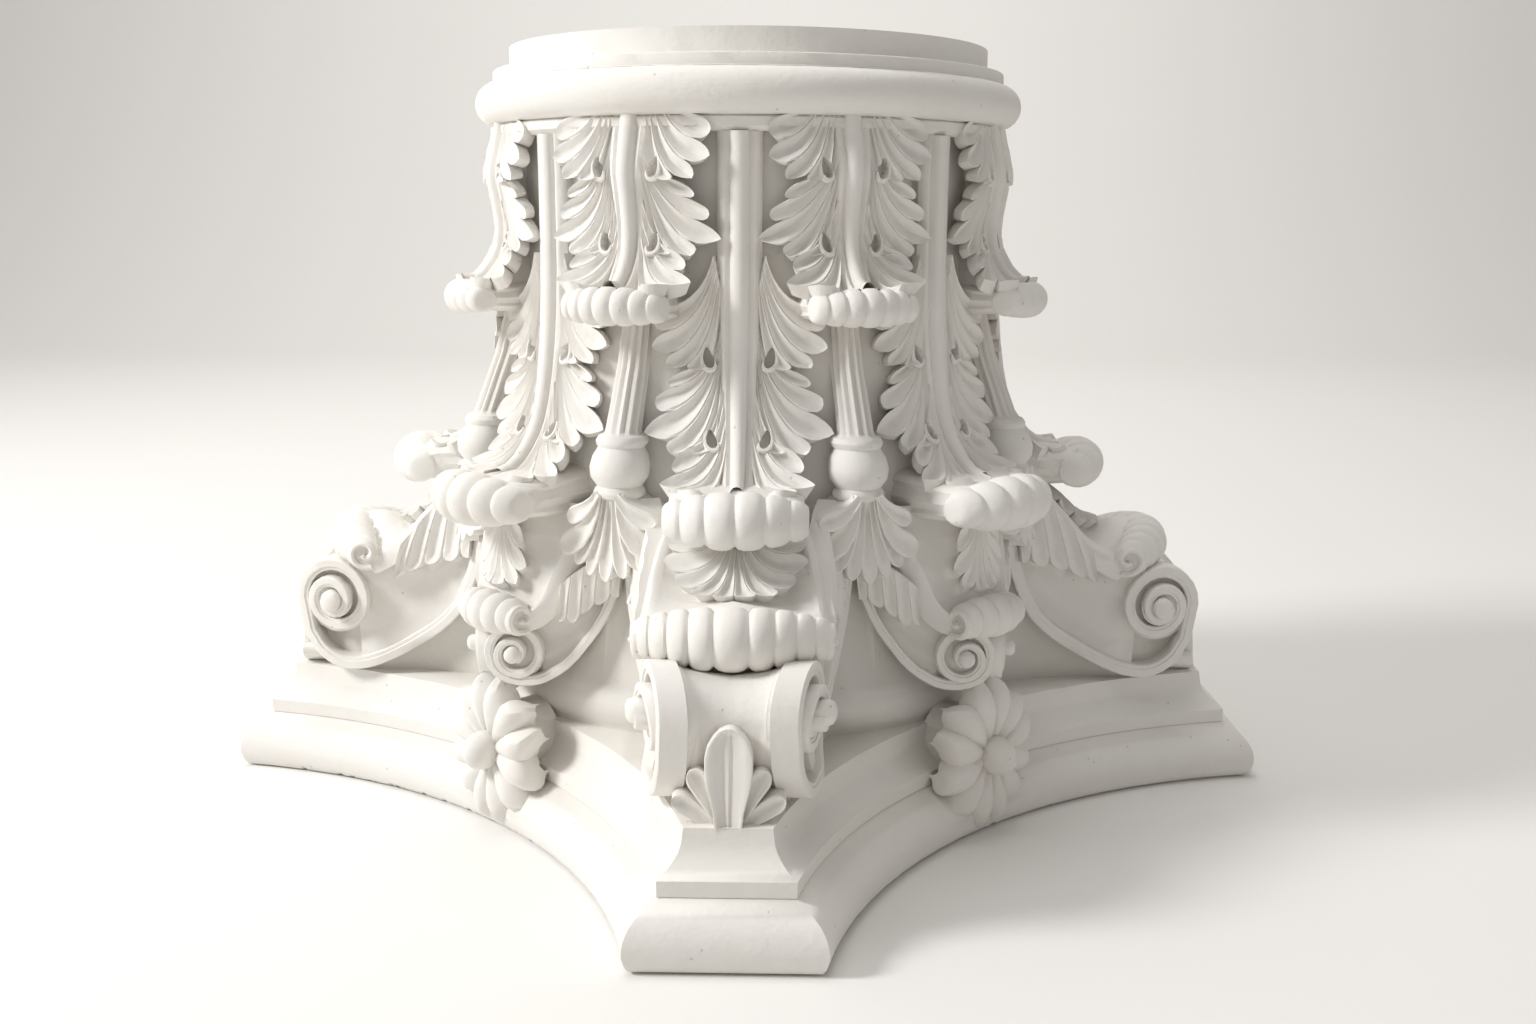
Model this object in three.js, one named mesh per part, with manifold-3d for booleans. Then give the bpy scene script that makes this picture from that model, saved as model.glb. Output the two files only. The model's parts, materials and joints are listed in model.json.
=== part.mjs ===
// A plaster Corinthian capital, set down upside down on its abacus.
// Millimetres, +Z up. The abacus faces look along X and Y, its horns lie on the
// diagonals, and the origin is on the floor at the middle of the abacus.

import * as THREE from 'three';
import { mergeVertices } from 'three/addons/utils/BufferGeometryUtils.js';
import Module from 'manifold-3d';

// Driving dimensions

const ASTRAGAL_RADIUS = 200;      // widest point of the neck ring
const TOTAL_HEIGHT = 534.7;       // floor to the shaft bed on top
const ABACUS_HEIGHT = 72.7;

const FACE_DISTANCE = 239;        // axis to the middle of a hollow abacus side, at the floor
const FACE_ARC_RADIUS = 413.3;    // hollow of an abacus side, at the floor
const HORN_DISTANCE = 384;        // axis to the flat end of a horn, at the floor

const FIRST_ROW_LENGTH = 114;     // leaf blade from the ring down to its curl
const SECOND_ROW_ROOT = 120;      // bare stem above a second row leaf's lobes
const SECOND_ROW_LENGTH = 130;

const SCROLL_SIDES = 9;           // facets in one turn of a scroll
const SECTORS = 8;                // leaves in a row
const HALF_SECTOR = Math.PI / SECTORS;

const PLASTER = new THREE.MeshStandardMaterial({ color: 0xe9e6e0, roughness: 0.78, metalness: 0 });

// Radius and height of each level of the neck ring, and of the bell behind the leaves

const NECK_PROFILE = [
  [174.8, TOTAL_HEIGHT], [174.8, 518], [186.8, 518], [186.8, 510],
  [196.5, 505], [ASTRAGAL_RADIUS, 494.8], [196.5, 484.5], [188, 476],
];
const BELL_PROFILE = [[169, 476], [167, 400], [188, 250], [196, 104], [203, 88], [198, 60]];
const BELL_FOOT = [[196, 104], [203, 88], [198, 60]];

// Height of each level of the abacus and how far its faces stand back from the floor line

const ABACUS_LEVELS = [
  [0, 0], [10, -3.5], [26, 1], [37.2, 19.2], [47.7, 19.2], [56, 31], [ABACUS_HEIGHT, 35.5],
];

// Midrib lines of the leaves, root first, as radius and height

const FIRST_ROW_MIDRIB = [
  [186, 478], [191, 456], [192.5, 444], [189.6, 428], [187.2, 409], [189.7, 392], [198, 378], [207, 371],
];
const SECOND_ROW_MIDRIB = [
  [185, 478], [184, 428], [184.5, 369], [188, 320], [195.5, 282], [206, 262], [219, 249], [236, 242],
];

// Scalloped leaf edge: share of the blade's length, half width, and how proud the edge is

const LEAF_EDGE = [
  [0.02, 50, -5], [0.2, 58, -1], [0.37, 29, -8], [0.62, 60, 0], [0.81, 27, -8], [0.97, 51, 0],
];
const VALLEY_DEPTH = 5;
const BLADE_SHARES = [0, 0, 0.45, 0.45, 1, 1];

// Curled leaf tips: centre of the roll, its radius and half width

const FIRST_ROW_CURL = { radius: 216, height: 360.3, roll: 13, halfWidth: 32 };
const SECOND_ROW_CURL = { radius: 254.5, height: 233, roll: 19, halfWidth: 45 };
const HORN_CURL = { radius: 304.5, height: 172, roll: 20.5, halfWidth: 58 };
const FACE_CURL = { radius: 240.5, height: 153.5, roll: 16, halfWidth: 29 };
const ROLL_SHARES = [0, 0.2, 0.4, 0.6, 0.8, 1];
const ROLL_ANGLES = [0.9, -0.1, -1.3];
const GROOVE = 0.84;

// Stems: the band above a second row leaf, and the height and radius of a cauliculus

const BAND = { centre: 170, size: 15, heights: [474, 400, 346] };
const CAULICULUS = [
  [345, 10.5], [326, 11], [304, 11.5], [277, 12], [271, 17],
  [262, 19], [250, 18.5], [240, 14], [235, 17], [226, 15],
];

// Calyx under a cauliculus: offset, radius and height of its middle, flank and root

const CALYX = [
  [[0, 222, 214], [18, 214, 214], [32, 188, 214]],
  [[0, 216, 186], [17, 209, 198], [34, 190, 206]],
  [[0, 191, 184], [16, 190, 194], [34, 190, 202]],
];

// Corner volutes, drawn along the diagonal: how far their outer face stands from it at each
// distance from the axis, then the scroll in its own plane as distance and height

const VOLUTE_LINE = [[150, 92], [185, 78], [215, 63], [250, 53], [290, 47], [346, 40.5]];
const VOLUTE_CENTRE = [313, 130];
const VOLUTE_RADIUS = 31;
const VOLUTE_HEAD_END = 29;
const VOLUTE_BAND = 8.5;
const VOLUTE_BAND_END = 17.5;
const VOLUTE_BOSS = [13, 16];
const VOLUTE_EYE = 9.5;
const VOLUTE_PROUD = 9;
const VOLUTE_DEPTH = 17;
const VOLUTE_FLAT = 0.55;         // how far the trough between a pair stands out towards its rims
const VOLUTE_SWEEP = [[184, 190], [207, 134], [250, 94], [292, 76], [328, 84]];
const VOLUTE_BACK = [[262, 180], [225, 196], [184, 202]];
const VOLUTE_RIM = [[292, 137], [262, 160], [214, 186]];
const CHANNEL_START = -0.6;
const CHANNEL_STEPS = 7;
const WEB = { near: 180, far: 304, nearHalf: 60, farHalf: 28, top: 104 };

// Helices, drawn in the plane that runs from the apex of a face along its run

const HELIX_APEX = new THREE.Vector3(252, 0, 0);
const HELIX_RUN = new THREE.Vector3(-62, 72, 0).normalize();
const HELIX_FRONT = new THREE.Vector3(HELIX_RUN.y, -HELIX_RUN.x, 0);
const HELIX_CENTRE = [23, 126];
const HELIX_RADIUS = 21.5;
const HELIX_START = -1.9;
const HELIX_HEAD = { radius: 13.5, proud: 4, sides: 6 };
const HELIX_EYE = { radius: 6, proud: 8, sides: 4 };
const HELIX_SWEEP = [[101, 190], [94, 160], [64, 117], [28, 104.5]];
const HELIX_BACK = [[62, 170], [101, 202]];

// Leaves that lie over the scrolls, from root to curl: front radius, height, half width and
// the radius of the back

const HORN_LEAF_ROWS = [
  { radius: 236, height: 206, width: 28, foot: 200 },
  { radius: 264, height: 195, width: 44, foot: 225 },
  { radius: 290, height: 190, width: 53, foot: 256 },
];
const FACE_LEAF_ROWS = [
  { radius: 230, height: 206, width: 14, foot: 196 },
  { radius: 231, height: 183, width: 20, foot: 196 },
  { radius: 240, height: 167, width: 25, foot: 205 },
];
const SADDLE_DROP = 24;
const SADDLE_FLUTE = 4;

// Rosette: reach of a petal's tip, the reach between tips and how proud each level stands

const ROSETTE = {
  petals: 6, radius: 226, height: 56, narrowing: 0.9,
  tips: [46, 50, 12], gaps: [30, 34, 12], proud: [-24, 6, 14],
};
const ROSETTE_BALL = { radius: 14, proud: 15, columns: 5, rows: 3 };

// Palmette: half of its outline as offset and height, its radius and its thickness

const PALMETTE_HALF = [[0, 54], [13, 48], [17, 32], [11, 14], [26, 26], [33, 15], [14, 0]];
const PALMETTE = { radius: 315, depth: 20 };

// Shares of a width or a girth

const BACK_SHARE = 0.9;
const SADDLE_BACK_SHARE = 0.8;
const HORN_TAPER = 0.93;          // how far a horn's end draws in for each step of its faces
const ROLL_TAPER = 0.22;
const STEM_SHOULDER = [0.85, 0.45];
const STEM_SWING = { low: 245, high: 360, out: 204, in: 175 };
const SECTOR_MARGIN = 0.105;      // angle kept free between a leaf and the stem beside it
const SINK = 2;                   // how far a joined form goes into what carries it

// Solids: a closed geometry becomes a solid that can be joined to others

const wasm = await Module();
wasm.setup();

function solidFrom(geometry) {
  const bare = geometry.clone();
  bare.deleteAttribute('normal');
  bare.deleteAttribute('uv');
  const merged = mergeVertices(bare, 1e-3);
  const vertices = merged.attributes.position.array;
  const corners = merged.index.array;
  const kept = [];
  for (let i = 0; i < corners.length; i += 3) {
    const [a, b, c] = [corners[i], corners[i + 1], corners[i + 2]];
    if (a !== b && b !== c && c !== a) kept.push(a, b, c);
  }
  const triangles = Uint32Array.from(kept);
  if (signedVolume(vertices, triangles) < 0) {
    for (let i = 0; i < triangles.length; i += 3) {
      [triangles[i + 1], triangles[i + 2]] = [triangles[i + 2], triangles[i + 1]];
    }
  }
  return new wasm.Manifold(new wasm.Mesh({
    numProp: 3, vertProperties: Float32Array.from(vertices), triVerts: triangles,
  }));
}

function signedVolume(vertices, triangles) {
  const corner = (i) => new THREE.Vector3().fromArray(vertices, 3 * i);
  let sum = 0;
  for (let i = 0; i < triangles.length; i += 3) {
    const [a, b, c] = [corner(triangles[i]), corner(triangles[i + 1]), corner(triangles[i + 2])];
    sum += a.dot(b.cross(c));
  }
  return sum / 6;
}

function geometryFrom(manifold) {
  const mesh = manifold.getMesh();
  const geometry = new THREE.BufferGeometry();
  geometry.setAttribute('position', new THREE.BufferAttribute(Float32Array.from(mesh.vertProperties), 3));
  geometry.setIndex(Array.from(mesh.triVerts));
  return geometry;
}

const join = (solids) => solids.reduce((sum, solid) => sum.add(solid));

// A box of columns by rows, bent so that place(column, row, back) gives each corner

function bentBox(columns, rows, place) {
  const box = new THREE.BoxGeometry(1, 1, 1, columns, rows, 1);
  const position = box.attributes.position;
  for (let i = 0; i < position.count; i += 1) {
    const column = Math.round((position.getX(i) + 0.5) * columns);
    const row = Math.round((position.getY(i) + 0.5) * rows);
    const point = place(column, row, position.getZ(i) < 0);
    position.setXYZ(i, point.x, point.y, point.z);
  }
  return solidFrom(box);
}

// A closed cylinder of sides by rings, bent so that place(angle, ring, hub) gives each corner.
// Where turnedOver(side) is true, a side's facets are split along their other diagonal.

function bentCylinder(sides, rings, place, turnedOver = () => false) {
  const cylinder = new THREE.CylinderGeometry(1, 1, 1, sides, rings);
  const corners = cylinder.index.array;
  for (let facet = 0; facet < sides * rings; facet += 1) {
    const [a, b, d, , c] = corners.subarray(6 * facet, 6 * facet + 6);
    if (turnedOver(Math.floor(facet / rings))) corners.set([a, b, c, a, c, d], 6 * facet);
  }
  const position = cylinder.attributes.position;
  for (let i = 0; i < position.count; i += 1) {
    const [x, y, z] = [position.getX(i), position.getY(i), position.getZ(i)];
    const point = place(Math.atan2(x, z), Math.round((y + 0.5) * rings), Math.hypot(x, z) < 0.5);
    position.setXYZ(i, point.x, point.y, point.z);
  }
  return solidFrom(cylinder);
}

// Smooth line through a list of radii and heights

function smoothCurve(points) {
  const places = points.map(([radius, height]) => new THREE.Vector3(radius, 0, height));
  return new THREE.CatmullRomCurve3(places, false, 'centripetal');
}

function bellRadius(height) {
  const above = Math.max(1, BELL_PROFILE.findLastIndex(([, z]) => z >= height) + 1);
  const below = Math.min(above, BELL_PROFILE.length - 1);
  const [[r0, z0], [r1, z1]] = [BELL_PROFILE[above - 1], BELL_PROFILE[below]];
  return z1 < z0 ? r0 + (r1 - r0) * (z0 - height) / (z0 - z1) : r1;
}

// Copies of a solid turned about the axis, first one at the given angle in degrees

function turned(solid, first, count) {
  const step = 360 / count;
  return join(Array.from({ length: count }, (_, i) => solid.rotate([0, 0, first + step * i])));
}

const mirroredPair = (solid) => solid.add(solid.mirror([0, 1, 0]));

// Wall: one sheet round the axis that holds the neck ring, the bell, both rows of leaves and
// the stems between them. A leaf row has seven points from its midrib to its root at the bell,
// a stem has three. Each point is its offset from its own axis, its radius and its height.

function bladeRow(curve, along, width, proud) {
  const point = curve.getPointAt(along / curve.getLength());
  const relief = [0, 0, -VALLEY_DEPTH, -VALLEY_DEPTH, proud, proud];
  const front = relief.map((out, i) => [BLADE_SHARES[i] * width, point.x + out, point.z]);
  return [...front, [BACK_SHARE * width, bellRadius(point.z), point.z]];
}

function rollPoint({ radius, height, roll, halfWidth }, angle, share, groove) {
  const girth = roll * (groove ? GROOVE : 1) * (1 - ROLL_TAPER * share * share);
  return [share * halfWidth, radius + girth * Math.cos(angle), height + girth * Math.sin(angle)];
}

function rollRow(curl, angle) {
  const front = ROLL_SHARES.map((share, i) => rollPoint(curl, angle, share, i % 2 === 1));
  const height = front[ROLL_SHARES.length - 1][2];
  return [...front, [BACK_SHARE * curl.halfWidth, bellRadius(height), height]];
}

function footRow({ height, roll, halfWidth }) {
  const low = height - roll;
  return [...BLADE_SHARES, 1].map((share) => [BACK_SHARE * share * halfWidth, bellRadius(low), low]);
}

function leafRows(midrib, start, length, curl) {
  const curve = smoothCurve(midrib);
  const blade = LEAF_EDGE.map(([share, width, proud]) => (
    bladeRow(curve, start + share * length, width, proud)));
  const roll = ROLL_ANGLES.map((angle) => rollRow(curl, angle));
  return [...blade, ...roll, footRow(curl)];
}

function plainRow(height) {
  const edge = BACK_SHARE * SECOND_ROW_CURL.halfWidth;
  return [0, 0, 0, 0, 0, 0, edge].map((offset) => [offset, bellRadius(height), height]);
}

function stemRow(centre, size, height) {
  const [across, out] = STEM_SHOULDER;
  const root = [size, bellRadius(height), height];
  return [[0, centre + size, height], [across * size, centre + out * size, height], root];
}

function cauliculusRow([height, size]) {
  return stemRow(stemCentre(height), size, height);
}

// Both halves of a row as angle, radius and height: one on the second row leaf's axis, at
// zero, the other on the first row leaf's axis, half a sector on

function wallRow(onSecond, onFirst) {
  const widest = HALF_SECTOR - SECTOR_MARGIN;
  const angle = ([offset, radius]) => Math.min(offset / radius, widest);
  const near = onSecond.map((point) => [angle(point), point[1], point[2]]);
  const far = [...onFirst].reverse().map((point) => [HALF_SECTOR - angle(point), point[1], point[2]]);
  return [...near, ...far];
}

function wall() {
  const strips = BLADE_SHARES.length + 3;
  const evenRow = (sides) => ([radius, height]) => Array.from({ length: strips + 1 }, (_, i) => {
    const angle = Math.round(i * sides / strips) * HALF_SECTOR / sides;
    return [angle, radius, height];
  });
  const first = leafRows(FIRST_ROW_MIDRIB, 4, FIRST_ROW_LENGTH - 4, FIRST_ROW_CURL);
  const second = leafRows(SECOND_ROW_MIDRIB, SECOND_ROW_ROOT, SECOND_ROW_LENGTH, SECOND_ROW_CURL);
  const rows = [
    ...NECK_PROFILE.map(evenRow(2)),
    ...first.map((leaf) => wallRow(stemRow(BAND.centre, BAND.size, bandHeight(leaf[0][2])), leaf)),
    ...second.map((leaf, i) => wallRow(leaf, cauliculusRow(CAULICULUS[i]))),
    ...CALYX.map((cup, i) => wallRow(plainRow(204 - 4 * i), cup)),
    ...BELL_FOOT.map(evenRow(1)),
  ];
  const sides = 2 * strips * SECTORS;
  return bentCylinder(sides, rows.length - 1, (turn, ring, hub) => {
    const row = rows[rows.length - 1 - ring];
    if (hub) return new THREE.Vector3(0, 0, row[0][2]);
    const step = (Math.round(turn / (2 * Math.PI / sides)) + sides) % sides;
    const sector = Math.floor(step / (2 * strips));
    const within = step - 2 * strips * sector;
    const folded = within > strips ? 2 * strips - within : within;
    const [angle, radius, height] = row[folded];
    const direction = 2 * HALF_SECTOR * sector + (within > strips ? 2 * HALF_SECTOR - angle : angle);
    return new THREE.Vector3(radius * Math.cos(direction), radius * Math.sin(direction), height);
  }, (side) => side % (2 * strips) >= strips);
}

function bandHeight(height) {
  const gap = (level) => Math.abs(level - height);
  return BAND.heights.reduce((best, level) => (gap(level) < gap(best) ? level : best));
}

function stemCentre(height) {
  const { low, high, out, in: inner } = STEM_SWING;
  return THREE.MathUtils.lerp(out, inner, THREE.MathUtils.smoothstep(height, low, high));
}

// Abacus with four hollow sides and four blunt horns

function abacusOutline(setBack, segments) {
  const radius = FACE_ARC_RADIUS + setBack;
  const centre = FACE_DISTANCE + FACE_ARC_RADIUS;
  const horn = Math.SQRT2 * (HORN_DISTANCE - HORN_TAPER * setBack);
  const reach = Math.PI / 4 + Math.asin((horn - centre) / (Math.SQRT2 * radius));
  const points = [];
  for (let side = 0; side < 4; side += 1) {
    for (let i = 0; i <= segments; i += 1) {
      const angle = reach * (2 * i / segments - 1);
      const point = new THREE.Vector2(centre - radius * Math.cos(angle), radius * Math.sin(angle));
      points.push(point.rotateAround(new THREE.Vector2(), side * Math.PI / 2));
    }
  }
  return points;
}

function abacus() {
  const segments = 5;
  const sides = 4 * (segments + 1);
  const rings = ABACUS_LEVELS.length - 1;
  const outlines = ABACUS_LEVELS.map(([, setBack]) => abacusOutline(setBack, segments));
  return bentCylinder(sides, rings, (angle, ring, hub) => {
    const [height] = ABACUS_LEVELS[ring];
    if (hub) return new THREE.Vector3(0, 0, height);
    const step = Math.round(angle / (2 * Math.PI / sides)) + sides;
    const point = outlines[ring][step % sides];
    return new THREE.Vector3(point.x, point.y, height);
  });
}

// Points along a turn of a scroll, and a round boss. lay(x, z, out) puts a point of the
// scroll's own plane in place.

function winding(centre, startRadius, endRadius, first, steps) {
  return Array.from({ length: Math.abs(steps) + 1 }, (_, i) => {
    const angle = first + Math.sign(steps) * 2 * Math.PI * i / SCROLL_SIDES;
    const radius = THREE.MathUtils.lerp(startRadius, endRadius, i / Math.abs(steps));
    return [centre[0] + radius * Math.cos(angle), centre[1] + radius * Math.sin(angle)];
  });
}

function boss(centre, radius, low, high, sides, lay) {
  return bentCylinder(sides, 1, (angle, ring, hub) => {
    const size = hub ? 0 : radius;
    return lay(centre[0] + size * Math.cos(angle), centre[1] + size * Math.sin(angle), ring ? high : low);
  });
}

// Outline drawn in a scroll's plane and carried across from one scroll to its twin

function crossing(outline, layers, place) {
  const shape = new THREE.Shape(outline.map(([x, z]) => new THREE.Vector2(x, z)));
  const slab = new THREE.ExtrudeGeometry(shape, { depth: layers, steps: layers, bevelEnabled: false });
  const position = slab.attributes.position;
  for (let i = 0; i < position.count; i += 1) {
    const share = 2 * position.getZ(i) / layers - 1;
    const point = place(position.getX(i), position.getY(i), share);
    position.setXYZ(i, point.x, point.y, point.z);
  }
  return solidFrom(slab);
}

// Corner volutes: a pair that meets on the diagonal, here along +X

function lineAt(line, x) {
  const next = Math.min(line.length - 1, Math.max(1, line.findIndex(([at]) => at >= x)));
  const [[x0, y0], [x1, y1]] = [line[next - 1], line[next]];
  return y0 + (y1 - y0) * (x - x0) / (x1 - x0);
}

function volutes() {
  const lay = (x, z, out) => new THREE.Vector3(x, lineAt(VOLUTE_LINE, x) + out, z);
  const outer = winding(VOLUTE_CENTRE, VOLUTE_RADIUS, VOLUTE_HEAD_END, 0, 4);
  const slab = crossing([...VOLUTE_SWEEP, ...outer, ...VOLUTE_BACK], 2, (x, z, share) => {
    const front = VOLUTE_CENTRE[0];
    const along = x > front && share === 0 ? THREE.MathUtils.lerp(front, x, VOLUTE_FLAT) : x;
    return new THREE.Vector3(along, share * lineAt(VOLUTE_LINE, x), z);
  });
  const bandStart = VOLUTE_RADIUS - VOLUTE_BAND;
  const bandEdge = winding(VOLUTE_CENTRE, bandStart, VOLUTE_BAND_END, CHANNEL_START, CHANNEL_STEPS);
  const turnEnd = CHANNEL_START + CHANNEL_STEPS * 2 * Math.PI / SCROLL_SIDES;
  const bossEdge = winding(VOLUTE_CENTRE, ...VOLUTE_BOSS, turnEnd, -CHANNEL_STEPS);
  const sweepEdge = VOLUTE_SWEEP.slice(0, -1).map(([x, z], i) => [x + 9 - 2 * i, z + 2 + 3 * i]);
  const channel = crossing([...sweepEdge, ...bandEdge, ...bossEdge, ...VOLUTE_RIM], 1, (x, z, share) => (
    lay(x, z, share > 0 ? VOLUTE_PROUD : -VOLUTE_DEPTH / 2)));
  const eye = boss(VOLUTE_CENTRE, VOLUTE_EYE, -VOLUTE_DEPTH, VOLUTE_PROUD, 5, lay);
  const web = bentBox(1, 1, (column, row, back) => new THREE.Vector3(
    back ? WEB.near : WEB.far,
    (column ? 1 : -1) * (back ? WEB.nearHalf : WEB.farHalf),
    row ? WEB.top : ABACUS_HEIGHT - SINK,
  ));
  return join([slab.subtract(channel).subtract(channel.mirror([0, 1, 0])), mirroredPair(eye), web]);
}

// Leaf that lies over a pair of scrolls and ends in a curl

function saddleLeaf(rows, curl) {
  const columns = 2 * (ROLL_SHARES.length - 1);
  const last = rows.length + ROLL_ANGLES.length;
  return bentBox(columns, last, (column, index, back) => {
    const step = column - columns / 2;
    const share = ROLL_SHARES[Math.abs(step)];
    const side = Math.sign(step);
    if (index < rows.length) {
      const { radius, height, width, foot } = rows[index];
      const blade = BLADE_SHARES[Math.abs(step)];
      const inner = side * Math.ceil(blade) * width * SADDLE_BACK_SHARE;
      if (back) return new THREE.Vector3(foot, inner, height - SADDLE_DROP);
      const ridge = blade > 0 && blade < 1 ? -SADDLE_FLUTE : 0;
      return new THREE.Vector3(radius + ridge, side * blade * width, height + ridge);
    }
    const angle = index === last ? -2.4 : ROLL_ANGLES[index - rows.length];
    if (back || index === last) {
      const inner = side * Math.ceil(share) * curl.halfWidth * SADDLE_BACK_SHARE;
      const under = curl.height - 0.2 * curl.roll * (index - rows.length);
      return new THREE.Vector3(curl.radius - 0.6 * curl.roll, inner, under);
    }
    const [offset, radius, height] = rollPoint(curl, angle, share, Math.abs(step) % 2 === 1);
    return new THREE.Vector3(radius, side * offset, height);
  });
}

// Helices: the smaller pair that meets at the middle of a face, here along +X

function helices() {
  const at = (u, z, out) => HELIX_APEX.clone()
    .addScaledVector(HELIX_RUN, u)
    .addScaledVector(HELIX_FRONT, out)
    .setZ(z);
  const head = winding(HELIX_CENTRE, HELIX_RADIUS, HELIX_RADIUS, HELIX_START, -4);
  const outline = [...HELIX_SWEEP, ...head, ...HELIX_BACK];
  const wedge = crossing(outline, 1, (u, z, share) => {
    const point = at(u, z, 0);
    return point.setY(share * point.y);
  });
  const disc = ({ radius, proud, sides }) => boss(HELIX_CENTRE, radius, -3 * SINK, proud, sides, at);
  return wedge.add(mirroredPair(disc(HELIX_HEAD).add(disc(HELIX_EYE))));
}

// Rosette on the middle of a face: six full petals around a ball

function rosette() {
  const { petals, radius, height, narrowing, tips, gaps, proud } = ROSETTE;
  const flower = bentCylinder(2 * petals, tips.length - 1, (angle, ring, hub) => {
    const tip = Math.round(angle / (Math.PI / petals)) % 2 === 0;
    const reach = hub ? 0 : (tip ? tips : gaps)[ring];
    const across = reach * narrowing * Math.sin(angle);
    return new THREE.Vector3(radius + proud[ring], across, height + reach * Math.cos(angle));
  });
  const { radius: size, proud: out, columns, rows } = ROSETTE_BALL;
  const ball = new THREE.SphereGeometry(size, columns, rows).translate(radius + out, 0, height);
  return flower.add(solidFrom(ball));
}

// Palmette on the horn, between the two volutes

function palmette() {
  const otherHalf = PALMETTE_HALF.slice(1).reverse().map(([y, z]) => [-y, z]);
  const outline = [...PALMETTE_HALF, ...otherHalf];
  const shape = new THREE.Shape(outline.map(([y, z]) => new THREE.Vector2(y, z)));
  const slab = new THREE.ExtrudeGeometry(shape, { depth: PALMETTE.depth, bevelEnabled: false });
  slab.rotateY(Math.PI / 2).rotateX(Math.PI / 2);
  return solidFrom(slab.translate(PALMETTE.radius, 0, ABACUS_HEIGHT - SINK / 2));
}

// Whole capital as one cast

function capital() {
  const horns = join([volutes(), saddleLeaf(HORN_LEAF_ROWS, HORN_CURL), palmette()]);
  const faces = join([helices(), saddleLeaf(FACE_LEAF_ROWS, FACE_CURL), rosette()]);
  return join([
    wall(),
    abacus(),
    turned(horns, 45, 4),
    turned(faces, 0, 4),
  ]);
}

const mesh = new THREE.Mesh(geometryFrom(capital()), PLASTER);
mesh.name = 'capital';

const corinthianCapital = new THREE.Group();
corinthianCapital.add(mesh);

export default corinthianCapital;
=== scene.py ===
# A plaster corinthian capital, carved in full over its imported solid.
# The forms are worked out in the capital's own millimetres, with +Z up and the origin on the
# floor at the middle of the abacus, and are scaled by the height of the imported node.

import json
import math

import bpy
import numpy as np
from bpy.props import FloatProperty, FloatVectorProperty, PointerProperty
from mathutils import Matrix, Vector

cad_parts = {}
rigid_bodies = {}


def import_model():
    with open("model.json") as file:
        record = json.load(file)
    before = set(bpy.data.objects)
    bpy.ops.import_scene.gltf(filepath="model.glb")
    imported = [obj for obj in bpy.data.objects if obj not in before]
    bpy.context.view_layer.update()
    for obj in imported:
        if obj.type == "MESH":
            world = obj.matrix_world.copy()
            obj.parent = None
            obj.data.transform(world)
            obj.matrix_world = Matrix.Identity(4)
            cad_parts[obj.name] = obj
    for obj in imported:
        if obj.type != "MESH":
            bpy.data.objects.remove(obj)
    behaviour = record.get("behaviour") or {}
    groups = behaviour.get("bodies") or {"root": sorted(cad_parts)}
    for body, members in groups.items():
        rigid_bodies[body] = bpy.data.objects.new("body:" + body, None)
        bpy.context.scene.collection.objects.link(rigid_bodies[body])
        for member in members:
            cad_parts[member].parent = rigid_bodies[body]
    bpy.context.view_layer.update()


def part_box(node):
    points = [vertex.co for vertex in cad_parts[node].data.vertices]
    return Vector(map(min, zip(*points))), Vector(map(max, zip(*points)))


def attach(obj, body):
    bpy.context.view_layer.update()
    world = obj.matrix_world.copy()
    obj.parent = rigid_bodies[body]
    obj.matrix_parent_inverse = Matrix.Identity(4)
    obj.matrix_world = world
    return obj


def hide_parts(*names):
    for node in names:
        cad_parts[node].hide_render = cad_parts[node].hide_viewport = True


bl_info = {
    "name": "Corinthian Capital",
    "version": (1, 0, 0),
    "blender": (4, 5, 0),
    "location": "View3D > Sidebar > Capital",
    "description": "Carves a plaster corinthian capital and sets it on a studio floor",
    "category": "Object",
}

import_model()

NODE = "capital"
MODEL_HEIGHT = 534.7
LOW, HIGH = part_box(NODE)
MM = (HIGH[2] - LOW[2]) / MODEL_HEIGHT

# Profiles: radius and height of each level, except that the abacus has its height and how far it
# is set back there

NECK_PROFILE = [
    (174.8, 534.7), (174.8, 518.6), (175.4, 518), (186.2, 518), (186.8, 517.4), (186.8, 510.4),
    (187.4, 509.8),
]
TORUS = {"radius": 185.0, "height": 494.8, "bulge": 15.0}
NECK_LIP = [(187.5, 478.5), (187.5, 473), (184, 470), (168, 470)]
BELL_PROFILE = [
    (175, 486), (173.5, 400), (176.5, 350), (189, 250), (193, 180), (197, 104), (202, 97), (203.5, 90),
    (202, 83), (198, 76), (197, 55),
]
ABACUS_PROFILE = [
    (0, 1.2), (0.8, 0.2), (4, -1.8), (10, -3.5), (15, -3.5), (19, -2.6), (23, -0.8), (26.5, 1.6),
    (29.5, 4.8), (32.3, 8.8), (34.6, 13.5), (36.2, 17), (37.2, 19.2), (37.8, 18.4), (47, 18.4),
    (47.7, 19.2), (49, 22), (51.5, 25.6), (54.5, 29), (58.5, 32.4), (63.5, 34.6), (69, 35.4), (72.7, 36),
]
FACE_DISTANCE, FACE_ARC_RADIUS, HORN_DISTANCE = 239.0, 413.3, 384.0
ABACUS_TOP = ABACUS_PROFILE[-1][0]

TRIANGLES = 190000

# Chips of the arris: the least and the greatest size, and the level and girth of their rings as
# shares of it

CHIP_SEED = 7
CHIP_SIZES = (1.0, 3.2)
CHIP_RINGS = [(-1.4, 0.7), (-0.3, 1.5), (0.7, 0.9), (1.1, 0.2)]

# Midribs of the two leaf rows, root first, and the rolls their tips curl into

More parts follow.
